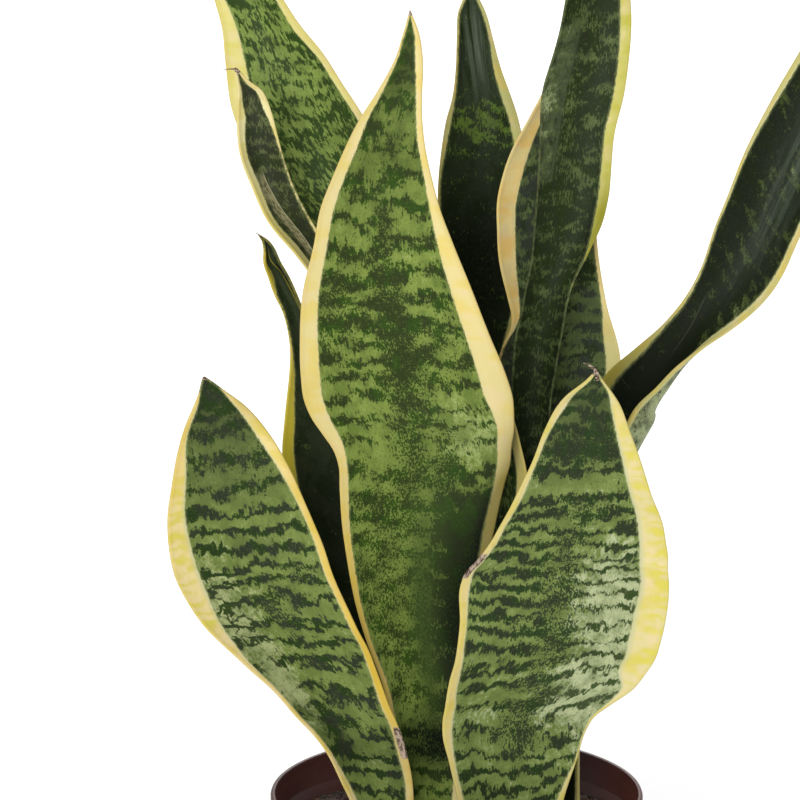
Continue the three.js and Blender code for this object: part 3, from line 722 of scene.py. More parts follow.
@dataclass(frozen=True)
class LeafFinish:
    """Waxy leaf: cross bands, cream margin, dry brown spots, painted shade, sheen and highlights.
    """

    marks: LeafMarks
    bands: bpy.types.NodeTree
    relief: bpy.types.NodeTree
    roughness: float = 0.48
    shine: float = 0.12
    border_tone: Colour = tone(140, 150, 96)
    sheen_tone: Colour = tone(92, 102, 86)
    stripe_tone: Colour = tone(218, 206, 92)
    stripe_pitch: float = 4.4
    blush_tone: Colour = tone(236, 212, 172)
    haze_tone: Colour = tone(188, 194, 156)
    rim_tone: Colour = tone(170, 146, 70)
    dry_tones: tuple[Colour, Colour] = (tone(72, 56, 48), tone(186, 166, 146))

    def build(self, name: str) -> bpy.types.Material:
        """Builds the material.

        Args:
            name: The leaf's name.

        Returns:
            The finished material.
        """
        m, t = self.marks, MaterialTree(f"{name} finish")
        along, across, seed = t.mark("along"), t.mark("across"), float(m.seed)
        inside, dry = t.mark("inside"), t.mark("dry")
        pattern = t.use(self.bands, Phase=t.mark("phase"), Along=along, Across=across, Seed=seed,
                        Bias=t.mark("shade"), Sand=t.mark("sand"), Net=t.mark("net"),
                        Pitch=m.pitch, Sway=m.sway, Comb=m.comb, Patches=m.patches,
                        Fleck=m.fleck, Bold=m.bold, Blot=m.blot, Stretch=m.stretch)
        fibre = t.less(pattern["Fibre"], 0.5)
        border = t.times(fibre, 1.4, inside)
        green = t.blend(t.times(t.rise(border, 1.0, 0.1), 0.35), self.green(t, pattern),
                        self.border_tone)
        margin = self.margin(t, pattern, along, across, inside)
        colour = t.blend(t.rise(border, 0.3, -0.25), green, margin)
        brown = t.blend(t.rise(pattern["Fibre"], 0.4, 0.58), *self.dry_tones)
        colour = t.blend(t.rise(t.times(fibre, 0.6, dry), 0.42, 0.6), colour, brown)
        relief = t.use(self.relief, Along=along, Across=across, Seed=seed)
        rough = t.times(relief["Sheen"], 0.25, self.roughness)
        rough = t.times(dry, 0.35, t.times(t.mark("gloom"), 0.3, rough))
        return t.finish(colour, rough, relief["Normal"],
                        **{"IOR": 1.45, "Specular IOR Level": self.shine})

    def green(self, t: Tree, pattern: bpy.types.NodeOutputs) -> Socket:
        """Builds the banded green of the blade.

        Args:
            t: The material's tree.
            pattern: Outputs of the cross bands.

        Returns:
            The colour socket.
        """
        m, bloom = self.marks, t.mark("bloom")
        cloud, speck, grit = (t.less(pattern[name], 0.5) for name in ("Cloud", "Speck", "Grit"))
        fresh = t.times(grit, 1.2, t.times(cloud, 1.4, t.times(speck, 1.6, bloom)))
        ground = t.blend(t.rise(fresh, 0.2, 0.8), m.light, m.pale)
        for noise, start, end, most in ((cloud, 0.08, -0.16, 0.5), (speck, 0.0, -0.2, 0.4),
                                        (grit, 0.0, -0.2, 0.5)):
            ground = t.blend(t.rise(noise, start, end, 0.0, most), ground, m.middle)
        ground = t.blend(t.mark("dull"), ground, m.dark)
        shade = t.blend(t.rise(cloud, -0.05, 0.1), m.dark, m.deep)
        shade = t.blend(t.rise(bloom, 0.2, 1.2, 0.0, 0.3), shade, m.middle)
        shade = t.blend(t.rise(grit, 0.04, 0.24, 0.0, 0.35), shade, m.light)
        green = t.blend(pattern["Dark"], ground, shade)
        calm = t.blend(t.rise(grit, -0.16, 0.16, 0.1, 0.75), m.middle, m.dark)
        green = t.blend(t.mark("flat"), green, calm)
        # pale streaks of painted sheen along the leaf
        streak = t.times(t.rise(pattern["Gloss"], 0.34, 0.66), t.mark("streak"))
        green = t.blend(streak, green, self.sheen_tone)
        if m.fold:
            green = self.folded(t, green, t.plus(grit, speck))
        # painted shade: the colour darkens towards the shadow tone where gloom is set, with grain
        # in it
        gloom = t.times(t.mark("gloom"), t.rise(grit, -0.2, 0.2, 0.65, 1.3))
        return t.blend(gloom, green, m.shadow)

    def folded(self, t: Tree, green: Socket, grain: Socket) -> Socket:
        """Draws the fold's line and, beside it, a pale painted highlight.

        Args:
            t: The material's tree.
            green: The colour without the fold.
            grain: Noise that breaks up the painted highlight.

        Returns:
            The colour socket.
        """
        m, fold, folded = self.marks, t.mark("fold"), t.mark("folded")
        side = t.times(t.rise(fold, m.fold_soft, -m.fold_soft, 0.0, m.facet), folded)
        side = t.times(side, t.rise(fold, -m.highlight_width - 0.8, -m.highlight_width + 0.8))
        side = t.times(side, t.rise(grain, -0.16, 0.1, 0.1, 1.0))
        line = t.rise(t.math("ABSOLUTE", fold), m.fold_width, 0.15, 0.0, 0.7)
        return t.blend(t.times(line, folded), t.blend(side, green, m.highlight_tone), m.fold_tone)

    def margin(self, t: Tree, pattern: bpy.types.NodeOutputs, along: Socket, across: Socket,
               inside: Socket) -> Socket:
        """Builds the cream edge of the blade, striped where it is broad.

        Args:
            t: The material's tree.
            pattern: Outputs of the cross bands.
            along: Millimetres from the foot.
            across: Millimetres from the middle line.
            inside: Millimetres inside the margin's border.

        Returns:
            The colour socket.
        """
        m, rim, broad = self.marks, t.mark("rim"), t.mark("broad")
        place = t.place(t.over(across, 14.0), t.over(along, 8.0), float(m.seed))
        patch, cloud = t.noise(place), t.less(pattern["Cloud"], 0.5)
        cream = t.blend(t.rise(patch, 0.42, 0.66, 0.0, 0.8), m.cream, m.yellow)
        if m.stripes:
            level = t.over(t.times(cloud, 9.0, along), self.stripe_pitch)
            stripe = t.times(t.less(0.5, t.times(t.math("PINGPONG", level, 0.5), 2.0)), 0.7)
            stripe = t.times(t.less(patch, 0.5), 2.4, stripe)
            stripe = t.times(t.less(pattern["Speck"], 0.5), 0.7, stripe)
            stripe = t.times(t.rise(stripe, -0.25, 0.4), t.rise(broad, 3.0, 7.0))
            stripe = t.times(stripe, t.rise(rim, 10.5, 2.0, 0.25, m.stripes))
            cream = t.blend(stripe, cream, self.stripe_tone)
        haze = t.rise(inside, t.times(broad, -0.25, -0.15), 0.0, 0.0, m.haze)
        # the margin's last mix is painted shade, towards shaded_margin where gloom is set
        for share, colour in ((t.rise(cloud, 0.0, 0.16, 0.0, 0.35), self.blush_tone),
                              (t.rise(pattern["Fibre"], 0.55, 0.8, 0.0, 0.25), m.yellow),
                              (t.mark("ripe"), m.ripe), (haze, self.haze_tone),
                              (t.rise(rim, 2.4, 0.0, 0.0, 0.3), m.edge),
                              (t.rise(rim, 0.5, 0.1, 0.0, 0.2), self.rim_tone),
                              (t.times(t.mark("gloom"), 0.85), m.shaded_margin)):
            cream = t.blend(share, cream, colour)
        return cream


@dataclass(frozen=True)
class Scar:
    """A dry brown place on a leaf's edge, in millimetres."""

    height: float
    side: Side
    length: float
    width: float


@dataclass(frozen=True)
class Thread:
    """A dried thread at a leaf's tip: its points in millimetres and its thickness at the root."""

    points: tuple[Point, ...]
    thickness: float
    thinnest: float = 0.3
    sides: int = 8
    steps: int = 24
    softenings: int = 6

    def rings(self) -> np.ndarray:
        """Places the rings of a round thread that thins towards its end.

        Returns:
            Points by ring and side, in millimetres.
        """
        given = np.array(self.points, dtype=float)
        at = np.linspace(0.0, len(given) - 1.0, self.steps)
        line = np.stack([np.interp(at, np.arange(len(given)), axis) for axis in given.T], axis=1)
        for _ in range(self.softenings):
            line[1:-1] = (line[:-2] + 2.0 * line[1:-1] + line[2:]) / 4.0
        ahead = np.gradient(line, axis=0)
        ahead /= np.linalg.norm(ahead, axis=1)[:, None]
        side = np.cross(ahead, np.array([0.0, 1.0, 0.0]))
        side /= np.linalg.norm(side, axis=1)[:, None]
        turn = (np.arange(self.sides) * TURN / self.sides)[None, :, None]
        size = self.thickness / 2.0 * np.linspace(1.0, self.thinnest, self.steps)
        ring = side[:, None] * np.cos(turn) + np.cross(ahead, side)[:, None] * np.sin(turn)
        return line[:, None] + ring * size[:, None, None]


def ring_faces(rows: int, count: int) -> list[tuple[int, ...]]:
    """Lists the faces round a stack of rings, and its two ends.

    Args:
        rows: How many rings there are.
        count: Points in each ring.

    Returns:
        Corner numbers of each face.
    """
    faces = [(low + i, low + (i + 1) % count, low + count + (i + 1) % count, low + count + i)
             for low in range(0, (rows - 1) * count, count) for i in range(count)]
    return [*faces, tuple(range(count - 1, -1, -1)), tuple(range((rows - 1) * count, rows * count))]


@dataclass
class Leaf:
    """One leaf, lofted through its levels, with its marks kept on the mesh.

    Lengths are in millimetres. The blade is hollowed most at its crease, thickened towards its
    foot over the first share of 1 / base_fade and thinned over the last share of 1 / tip_fade.
    """

    name: str
    levels: Levels
    marks: LeafMarks
    scars: tuple[Scar, ...] = ()
    threads: tuple[Thread, ...] = ()
    crease: float = 0.5
    sharpness: float = 2.0
    edge_thickness: float = 1.0
    blade_thickness: float = 2.4
    base_thickness: float = 3.6
    base_fade: float = 3.0
    tip_fade: float = 6.0
    uneven_height: float = 0.35
    uneven_length: float = 34.0
    uneven_rise: tuple[float, float] = (20.0, 60.0)
    band_wander: float = 0.5
    band_length: float = 40.0
    columns: int = 44
    pitch: float = 1.3
    table: np.ndarray = field(init=False)
    at: np.ndarray = field(init=False)

    def __post_init__(self) -> None:
        """Fills in the level table, with a straight foot up to the soil's top."""
        rows = [tuple(row) + (0.0,) * (9 - len(row)) for row in self.levels]
        rows.insert(1, (SOIL_TOP,) + rows[0][1:])
        self.table = np.array(rows, dtype=float)
        steps = np.linalg.norm(np.diff(self.middle(self.table), axis=0), axis=1)
        self.at = np.concatenate([[0.0], np.cumsum(steps)])

    @staticmethod
    def middle(rows: np.ndarray) -> np.ndarray:
        """Returns the point halfway between the edges of each level."""
        return np.stack([(rows[:, 1] + rows[:, 3]) / 2, (rows[:, 2] + rows[:, 4]) / 2,
                         rows[:, 0] + rows[:, 8] / 2], axis=1)

    def slopes(self) -> np.ndarray:
        """Works out how fast each number changes at each level.

        Returns:
            One slope for each number of each level.
        """
        span = np.diff(self.at)[:, None]
        between = np.diff(self.table, axis=0) / span
        inner = (between[:-1] * span[1:] + between[1:] * span[:-1]) / (span[:-1] + span[1:])
        return np.vstack([between[:1], inner, between[-1:]])

    def rows_at(self, distance: np.ndarray) -> np.ndarray:
        """Reads the levels at distances along the leaf, smoothly.

        Args:
            distance: Millimetres from the foot.

        Returns:
            One interpolated level for each distance.
        """
        i = np.clip(np.searchsorted(self.at, distance, side="right") - 1, 0, len(self.at) - 2)
        span = (self.at[i + 1] - self.at[i])[:, None]
        t = (distance - self.at[i])[:, None] / span
        slope, t2, t3 = self.slopes(), t * t, t * t * t
        return ((2 * t3 - 3 * t2 + 1) * self.table[i] + (t3 - 2 * t2 + t) * span * slope[i]
                + (3 * t2 - 2 * t3) * self.table[i + 1] + (t3 - t2) * span * slope[i + 1])

    def bow(self, across: np.ndarray) -> np.ndarray:
        """Shapes the hollow between the edges.

        Args:
            across: 0 at the left edge to 1 at the right.

        Returns:
            0 at both edges and 1 at the crease.
        """
        left = (self.crease - across) / self.crease
        right = (across - self.crease) / (1.0 - self.crease)
        return 1.0 - np.maximum(left, right) ** self.sharpness

    def surface(self, distance: np.ndarray, across: np.ndarray) -> np.ndarray:
        """Places the blade's middle surface.

        Args:
            distance: Millimetres from the foot, one for each row.
            across: 0 at the left edge to 1 at the right, one for each column.

        Returns:
            Points by row and column.
        """
        rows = self.rows_at(distance)
        ahead = self.middle(self.rows_at(np.minimum(distance + 0.5, self.at[-1])))
        along = ahead - self.middle(self.rows_at(np.maximum(distance - 0.5, 0.0)))
        along /= np.linalg.norm(along, axis=1)[:, None]
        left = rows[:, [1, 2, 0]]
        chord = rows[:, [3, 4, 0]] + rows[:, 8:9] * np.array([0.0, 0.0, 1.0]) - left
        back = np.cross(along, chord)
        back /= np.linalg.norm(back, axis=1)[:, None]
        depth = (rows[:, 5:6] * self.bow(across)[None, :])[..., None]
        return left[:, None] + chord[:, None] * across[None, :, None] + back[:, None] * depth

    def half_thickness(self, rim: np.ndarray, distance: np.ndarray,
                       across: np.ndarray) -> np.ndarray:
        """Gives half the blade's thickness, rounded off at its edges.

        Args:
            rim: Millimetres from the nearer edge, by row and column.
            distance: Millimetres from the foot of each row.
            across: Share across of each column.

        Returns:
            Millimetres by row and column.
        """
        share = distance / self.at[-1]
        foot = np.maximum(0.0, 1.0 - self.base_fade * share)
        middle = self.blade_thickness + (self.base_thickness - self.blade_thickness) * foot
        more = (middle - self.edge_thickness) * np.minimum(1.0, (1.0 - share) * self.tip_fade)
        near = np.clip(1.0 - rim / self.edge_thickness * 2.0, 0.0, 1.0)
        whole = self.edge_thickness + more[:, None] * (1.0 - (2.0 * across - 1.0) ** 2)[None, :]
        return whole / 2.0 * np.sqrt(1.0 - near ** 2)

    def skin(self, distance: np.ndarray, across: np.ndarray) -> tuple[np.ndarray, np.ndarray]:
        """Places the points round the blade.

        Args:
            distance: Millimetres from the foot of each row.
            across: Share across of each column.

        Returns:
            Points by row, over the front and back over the rear, and the width of each row.
        """
        points = self.surface(distance, across)
        normal = np.cross(np.gradient(points, axis=0), np.gradient(points, axis=1))
        normal /= np.maximum(np.linalg.norm(normal, axis=2), 1e-9)[..., None]
        width = np.linalg.norm(np.diff(points, axis=1), axis=2).sum(axis=1)
        rim = np.minimum(across, 1.0 - across)[None, :] * width[:, None]
        half = self.half_thickness(rim, distance, across)[..., None]
        offset = (across - 0.5)[None, :] * width[:, None]
        uneven = ripple(offset, distance[:, None], self.uneven_length, self.marks.seed)
        uneven *= self.uneven_height * smooth(distance, *self.uneven_rise)[:, None]
        points = points + normal * uneven[..., None]
        rear = points + normal * half
        return np.concatenate([points - normal * half, rear[:, -2:0:-1]], axis=1), width

    def build(self) -> bpy.types.Object:
        """Builds the leaf's closed mesh with its threads and marks.

        Returns:
            The leaf, undressed.
        """
        total = self.at[-1]
        distance = np.linspace(0.0, total, round(total / self.pitch) + 1)
        across = 0.5 - 0.5 * np.cos(np.linspace(0.0, math.pi, self.columns + 1))
        ring, width = self.skin(distance, across)
        places: list[np.ndarray] = []
        faces: list[tuple[int, ...]] = []
        for rings in (ring, *(thread.rings() for thread in self.threads)):
            start = sum(len(part) for part in places)
            faces += [tuple(start + k for k in face) for face in ring_faces(*rings.shape[:2])]
            places.append(rings.reshape(-1, 3))
        place = np.concatenate(places)
        mesh = bpy.data.meshes.new(f"{self.name}_blade")
        mesh.from_pydata((place * MM).tolist(), [], faces)
        rear = self.mark_values(distance, across, width, True)
        for mark, values in self.mark_values(distance, across, width, False).items():
            # the threads come after the blade, and they are dry all over
            both = np.concatenate([values, rear[mark][:, -2:0:-1]], axis=1).ravel()
            kept = np.full(len(place), float(mark == "dry"), dtype=np.float32)
            kept[:len(both)] = both
            if mark in THREAD_AXES:
                kept[len(both):] = place[len(both):, THREAD_AXES[mark]]
            mesh.attributes.new(mark, "FLOAT", "POINT").data.foreach_set("value", kept)
        mesh.shade_smooth()
        return show(mesh.name, mesh)

    def mark_values(self, distance: np.ndarray, across: np.ndarray, width: np.ndarray,
                    rear: bool) -> dict[str, np.ndarray]:
        """Works out the numbers that the finish reads.

        Args:
            distance: Millimetres from the foot of each row.
            across: Share across of each column.
            width: Width of each row.
            rear: True for the leaf's rear face.

        Returns:
            Arrays by row and column, by name.
        """
        rows, half = self.rows_at(distance), width[:, None] / 2.0
        from_left = across[None, :] * width[:, None]
        from_right = width[:, None] - from_left
        along, offset = distance[:, None] * np.ones_like(from_left), from_left - half
        height, lean = rows[:, 0:1] * np.ones_like(offset), offset / np.maximum(half, 1.0)
        inside = np.minimum(from_left - rows[:, 6:7], from_right - rows[:, 7:8])
        return {"along": along, "across": offset,
                "inside": inside - self.marks.rear_margin * float(rear),
                "rim": np.minimum(from_left, from_right),
                "broad": np.where(lean < 0.0, rows[:, 6:7], rows[:, 7:8]),
                "phase": self.band_count(along, height, offset, lean),
                "dry": self.dryness(along, height, {Side.LEFT: from_left, Side.RIGHT: from_right}),
                **self.patch_marks(height, lean, rear),
                **self.fold_marks(height, offset, half, rear)}

    def band_count(self, along: np.ndarray, height: np.ndarray, offset: np.ndarray,
                   lean: np.ndarray) -> np.ndarray:
        """Counts the cross bands below each point, with whole numbers at their middles.

        Args:
            along: Millimetres from the foot of each point.
            height: Height of each point.
            offset: Millimetres from the middle line of each point.
            lean: How far each point is from the middle line, from -1 to 1.

        Returns:
            The count, which goes on at the usual pitch past the first and last placed band.
        """
        marks = self.marks
        if not marks.bands:
            wander = ripple(offset, along, self.band_length, marks.seed)
            return along / marks.pitch + self.band_wander * wander
        levels = [np.interp(lean, BAND_LEANS, band) for band in sorted(marks.bands)]
        count = np.minimum(height - levels[0], 0.0) / marks.pitch
        for low, high in zip(levels, levels[1:]):
            count += np.clip((height - low) / np.maximum(high - low, 1.0), 0.0, 1.0)
        return count + np.maximum(height - levels[-1], 0.0) / marks.pitch

    def dryness(self, along: np.ndarray, height: np.ndarray,
                reaches: dict[Side, np.ndarray]) -> np.ndarray:
        """Works out how dry the leaf is at its tip and its scars.

        Args:
            along: Millimetres from the foot of each point.
            height: Height of each point.
            reaches: Millimetres from each edge to each point.

        Returns:
            Numbers from 0 to 1, by row and column.
        """
        tip = self.at[-1]
        dry = smooth(along, tip - self.marks.dry_tip, tip - 0.5)
        for scar in self.scars:
            near = np.exp(-((height - scar.height) / scar.length) ** 4)
            near *= 1.0 - smooth(reaches[scar.side], scar.width * 0.5, scar.width)
            dry = np.maximum(dry, near)
        return dry

    def patch_marks(self, height: np.ndarray, lean: np.ndarray,
                    rear: bool) -> dict[str, np.ndarray]:
        """Adds up the leaf's patches.

        Args:
            height: Height of each point.
            lean: How far each point is from the middle line, from -1 to 1.
            rear: True for the leaf's rear face.

        Returns:
            Arrays by row and column, by the names of the marks.
        """
        starts = {"shade": self.marks.bias, "sand": self.marks.sand}
        values = {}
        for name in PATCH_MARKS:
            total = np.full(height.shape, starts.get(name, 0.0))
            for patch in self.marks.patched:
                if getattr(patch, name) and (rear or not patch.rear):
                    total += getattr(patch, name) * patch.share(height, lean)
            values[name] = total if name in FREE_MARKS else np.clip(total, 0.0, 1.0)
        return values

    def fold_marks(self, height: np.ndarray, offset: np.ndarray, half: np.ndarray,
                   rear: bool) -> dict[str, np.ndarray]:
        """Measures from the leaf's fold, which shows on the front face alone.

        Args:
            height: Height of each point.
            offset: Millimetres from the middle line of each point.
            half: Half the width of each row.
            rear: True for the leaf's rear face.

        Returns:
            Millimetres from the fold, and from 0 to 1 how clear it is.
        """
        if rear or not self.marks.fold:
            return {"fold": offset, "folded": np.zeros_like(offset)}
        (levels, leans), fade = zip(*sorted(self.marks.fold)), self.marks.fold_fade
        clear = smooth(height, levels[0] - fade, levels[0])
        clear *= smooth(-height, -levels[-1] - fade, -levels[-1])
        return {"fold": offset - np.interp(height, levels, leans) * half, "folded": clear}

    def dress(self, leaf: bpy.types.Object, bands: bpy.types.NodeTree,
              relief: bpy.types.NodeTree) -> None:
        """Gives the leaf its finish and its place in the frame.

        Args:
            leaf: The leaf's object.
            bands: The shared cross bands.
            relief: The shared leaf relief.
        """
        leaf.data.materials.append(LeafFinish(self.marks, bands, relief).build(self.name))
        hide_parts(self.name)
        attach(leaf, "root")


@dataclass(frozen=True)
class PotFinish:
    """Dark red-brown moulded plastic with dust and fine rub marks."""

    ground: Colour = tone(66, 22, 10)
    worn: Colour = tone(88, 36, 20)
    rubbed: Colour = tone(116, 66, 50)
    rub_scales: Point = (14.0, 14.0, 700.0)

    def build(self) -> bpy.types.Material:
        """Builds the material.

        Returns:
            The finished material.
        """
        t = MaterialTree("pot plastic")
        place = t.add("ShaderNodeTexCoord").outputs["Object"]
        cloud = t.noise(place, 22.0, 3.0, 0.6)
        fine = t.noise(place, 900.0, 3.0, 0.7)
        axes = t.add("ShaderNodeSeparateXYZ", {0: place}).outputs
        stretched = t.place(*(t.times(axis, scale) for axis, scale in zip(axes, self.rub_scales)))
        rub = t.noise(stretched, 1.0, 3.0, 0.7)
        colour = t.blend(t.rise(cloud, 0.42, 0.7, 0.0, 0.5), self.ground, self.worn)
        colour = t.blend(t.rise(rub, 0.6, 0.75, 0.0, 0.25), colour, self.rubbed)
        normal = t.bump(t.times(rub, 0.6, t.times(fine, 0.4)), 0.25, 0.0003)
        return t.finish(colour, t.rise(rub, 0.4, 0.7, 0.36, 0.52), normal)


@dataclass(frozen=True)
class SoilFinish:
    """Dark crumbly potting soil, or the bits that lie on it."""

    dark: Colour
    light: Colour
    grain: float = 420.0

    def build(self, name: str) -> bpy.types.Material:
        """Builds the material.

        Args:
            name: The material's name.

        Returns:
            The finished material.
        """
        t = MaterialTree(name)
        place = t.add("ShaderNodeTexCoord").outputs["Object"]
        coarse = t.noise(place, self.grain / 3.0, 3.0, 0.6)
        fine = t.noise(place, self.grain * 2.0, 4.0, 0.7)
        share = t.rise(t.times(coarse, 0.6, t.times(fine, 0.4)), 0.4, 0.62)
        return t.finish(t.blend(share, self.dark, self.light),
                        t.rise(fine, 0.3, 0.7, 0.8, 1.0), t.bump(fine, 0.6, 0.0008))


class GeometryTree(NodeGroup):
    """A Geometry Nodes tree that ends in one finish."""

    def __init__(self, name: str, numbers: dict[str, float]) -> None:
        """Starts the tree with a geometry in and out.

        Args:
            name: The tree's name.
            numbers: Its number inputs and their usual values.
        """
        inputs = {"Geometry": GEOMETRY, **numbers, "Finish": MATERIAL}
        super().__init__(name, "GeometryNodeTree", inputs, {"Geometry": GEOMETRY})

    def finish(self, geometry: Socket) -> None:
        """Ends the tree with real geometry in its finish.

        Args:
            geometry: What the tree has made.
        """
        real = self.add("GeometryNodeRealizeInstances", {0: geometry})
        dressed = self.add("GeometryNodeSetMaterial", {"Geometry": real.outputs[0],
                                                       "Material": self.given["Finish"]})
        self.feed(self.result[0], dressed.outputs[0])

    def apply(self, name: str, base: bpy.types.Mesh, values: dict[str, object]) -> bpy.types.Object:
        """Runs the tree on a mesh and keeps the result as a plain mesh.

        Args:
            name: Name of the new object.
            base: The mesh that the tree starts from.
            values: Input values by name.

        Returns:
            The new object, with no modifier left.
        """
        holder = show(f"{name} start", base)
        modifier = holder.modifiers.new("shape", "NODES")
        modifier.node_group = self.tree
        for item in self.tree.interface.items_tree:
            if item.in_out == "INPUT" and item.name in values:
                modifier[item.identifier] = values[item.name]
        depsgraph = bpy.context.evaluated_depsgraph_get()
        mesh = bpy.data.meshes.new_from_object(holder.evaluated_get(depsgraph), depsgraph=depsgraph)
        mesh.name = name
        holder.modifiers.remove(modifier)
        bpy.data.objects.remove(holder)
        return show(name, mesh)


@dataclass
class Pot:
    """The moulded nursery pot, turned from its section, with drain holes in its floor.

    Lengths are in millimetres. The section is swept round a path so small that its two ends
    meet in the middle.
    """

    height: float = POT_HEIGHT
    rim_radius: float = 70.0
    rim_band: float = 14.0
    rim_step: float = 3.0
    foot_radius: float = 50.0
    wall: float = 1.8
    drain_holes: int = 6
    drain_radius: float = 4.0
    drain_circle: float = 32.0
    drill_length: float = 20.0
    drill_sides: int = 48
    path_radius: float = 1.0
    weld: float = 0.02
    steps: int = 160
    sharp_angle: float = 50.0

    def inner_radius(self, height: float) -> float:
        """Returns the inner radius of the tapered wall at a height."""
        slope = (self.rim_radius - self.rim_step - self.foot_radius) / (self.height - self.rim_band)
        return self.foot_radius - self.wall + slope * height

    def section(self) -> list[tuple[float, float]]:
        """Draws the pot's section from the middle of its floor, outside first.

        Returns:
            Radius and height of each corner.
        """
        foot, rim, top, wall = self.foot_radius, self.rim_radius, self.height, self.wall
        outer, shoulder = rim - self.rim_step, top - self.rim_band
        return [(0.0, 0.0), (foot - 2.4, 0.0), (foot - 0.9, 0.4), (foot + 0.1, 1.6),
                (foot + 0.35, 3.0), (outer - 0.15, shoulder - 1.2), (outer + 0.2, shoulder - 0.3),
                (outer + 1.0, shoulder), (rim - 1.0, shoulder + 0.1), (rim - 0.3, shoulder + 0.4),
                (rim, shoulder + 1.1), (rim, top - 1.1), (rim - 0.25, top - 0.4), (rim - 0.9, top),
                (rim - wall + 0.2, top - 0.2), (rim - wall - 0.1, top - 0.9),
                (rim - wall - 0.1, shoulder + wall + 0.8), (rim - wall - 0.8, shoulder + wall),
                (outer - wall, shoulder), (self.inner_radius(wall + 2.0), wall + 2.0),
                (self.inner_radius(wall) - 1.6, wall), (0.0, wall)]

    def tree(self, numbers: dict[str, float]) -> GeometryTree:
        """Builds the tree that turns the section and drills the floor.

        Args:
            numbers: Its number inputs and their values.

        Returns:
            The tree with its named inputs.
        """
        t = GeometryTree("Turned pot", numbers)
        g = t.given
        section = t.add("GeometryNodeMeshToCurve", {"Mesh": g["Geometry"]})
        path = t.add("GeometryNodeCurvePrimitiveCircle", {"Resolution": g["Steps"],
                                                          "Radius": self.path_radius * MM})
        turned = t.add("GeometryNodeCurveToMesh", {"Curve": path.outputs[0],
                                                   "Profile Curve": section.outputs[0]})
        merged = t.add("GeometryNodeMergeByDistance", {"Geometry": turned.outputs[0],
                                                       "Distance": self.weld * MM})
        circle = t.add("GeometryNodeMeshCircle", {"Vertices": g["Drain holes"],
                                                  "Radius": g["Drain circle"]})
        drill = t.add("GeometryNodeMeshCylinder", {
            "Vertices": self.drill_sides, "Radius": g["Drain radius"], "Depth": g["Drill length"]})
        drills = t.add("GeometryNodeInstanceOnPoints", {"Points": circle.outputs[0],
                                                        "Instance": drill.outputs[0]})
        cut = t.add("GeometryNodeMeshBoolean", operation="DIFFERENCE", feeds={
            "Mesh 1": merged.outputs[0], "Mesh 2": drills.outputs[0]})
        t.finish(cut.outputs[0])
        return t

    def build(self) -> bpy.types.Object:
        """Builds the pot, dresses it and places it in the frame.

        Returns:
            The pot's object.
        """
        corners = [((radius - self.path_radius) * MM, -height * MM, 0.0)
                   for radius, height in self.section()]
        line = bpy.data.meshes.new("pot section")
        line.from_pydata(corners, [(i, i + 1) for i in range(len(corners) - 1)], [])
        numbers = {"Steps": self.steps, "Drain holes": self.drain_holes,
                   "Drain radius": self.drain_radius * MM, "Drain circle": self.drain_circle * MM,
                   "Drill length": self.drill_length * MM}
        values = {**numbers, "Finish": PotFinish().build()}
        pot = self.tree(numbers).apply("pot_shell", line, values)
        pot.data.shade_smooth()
        pot.data.set_sharp_from_angle(angle=math.radians(self.sharp_angle))
        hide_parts("pot")
        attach(pot, "root")
        return pot


@dataclass(frozen=True)
class Bits:
    """One kind of loose bit: radii in millimetres and density in bits per square metre."""

    name: str
    density: float
    smallest: float
    largest: float
    flatness: float
    length: float
    dark: Colour
    light: Colour
    grain: float = 700.0

    def values(self, seed: int) -> dict[str, object]:
        """Lists the values that the strewing tree is run with.

        Args:
            seed: Chooses the places and turns of the bits.

        Returns:
            Values by the names of the tree's inputs.
        """
        finish = SoilFinish(self.dark, self.light, self.grain).build(self.name.replace("_", " "))
        return {"Density": self.density, "Smallest": self.smallest * MM,
                "Largest": self.largest * MM, "Flatness": self.flatness, "Length": self.length,
                "Seed": seed, "Finish": finish}


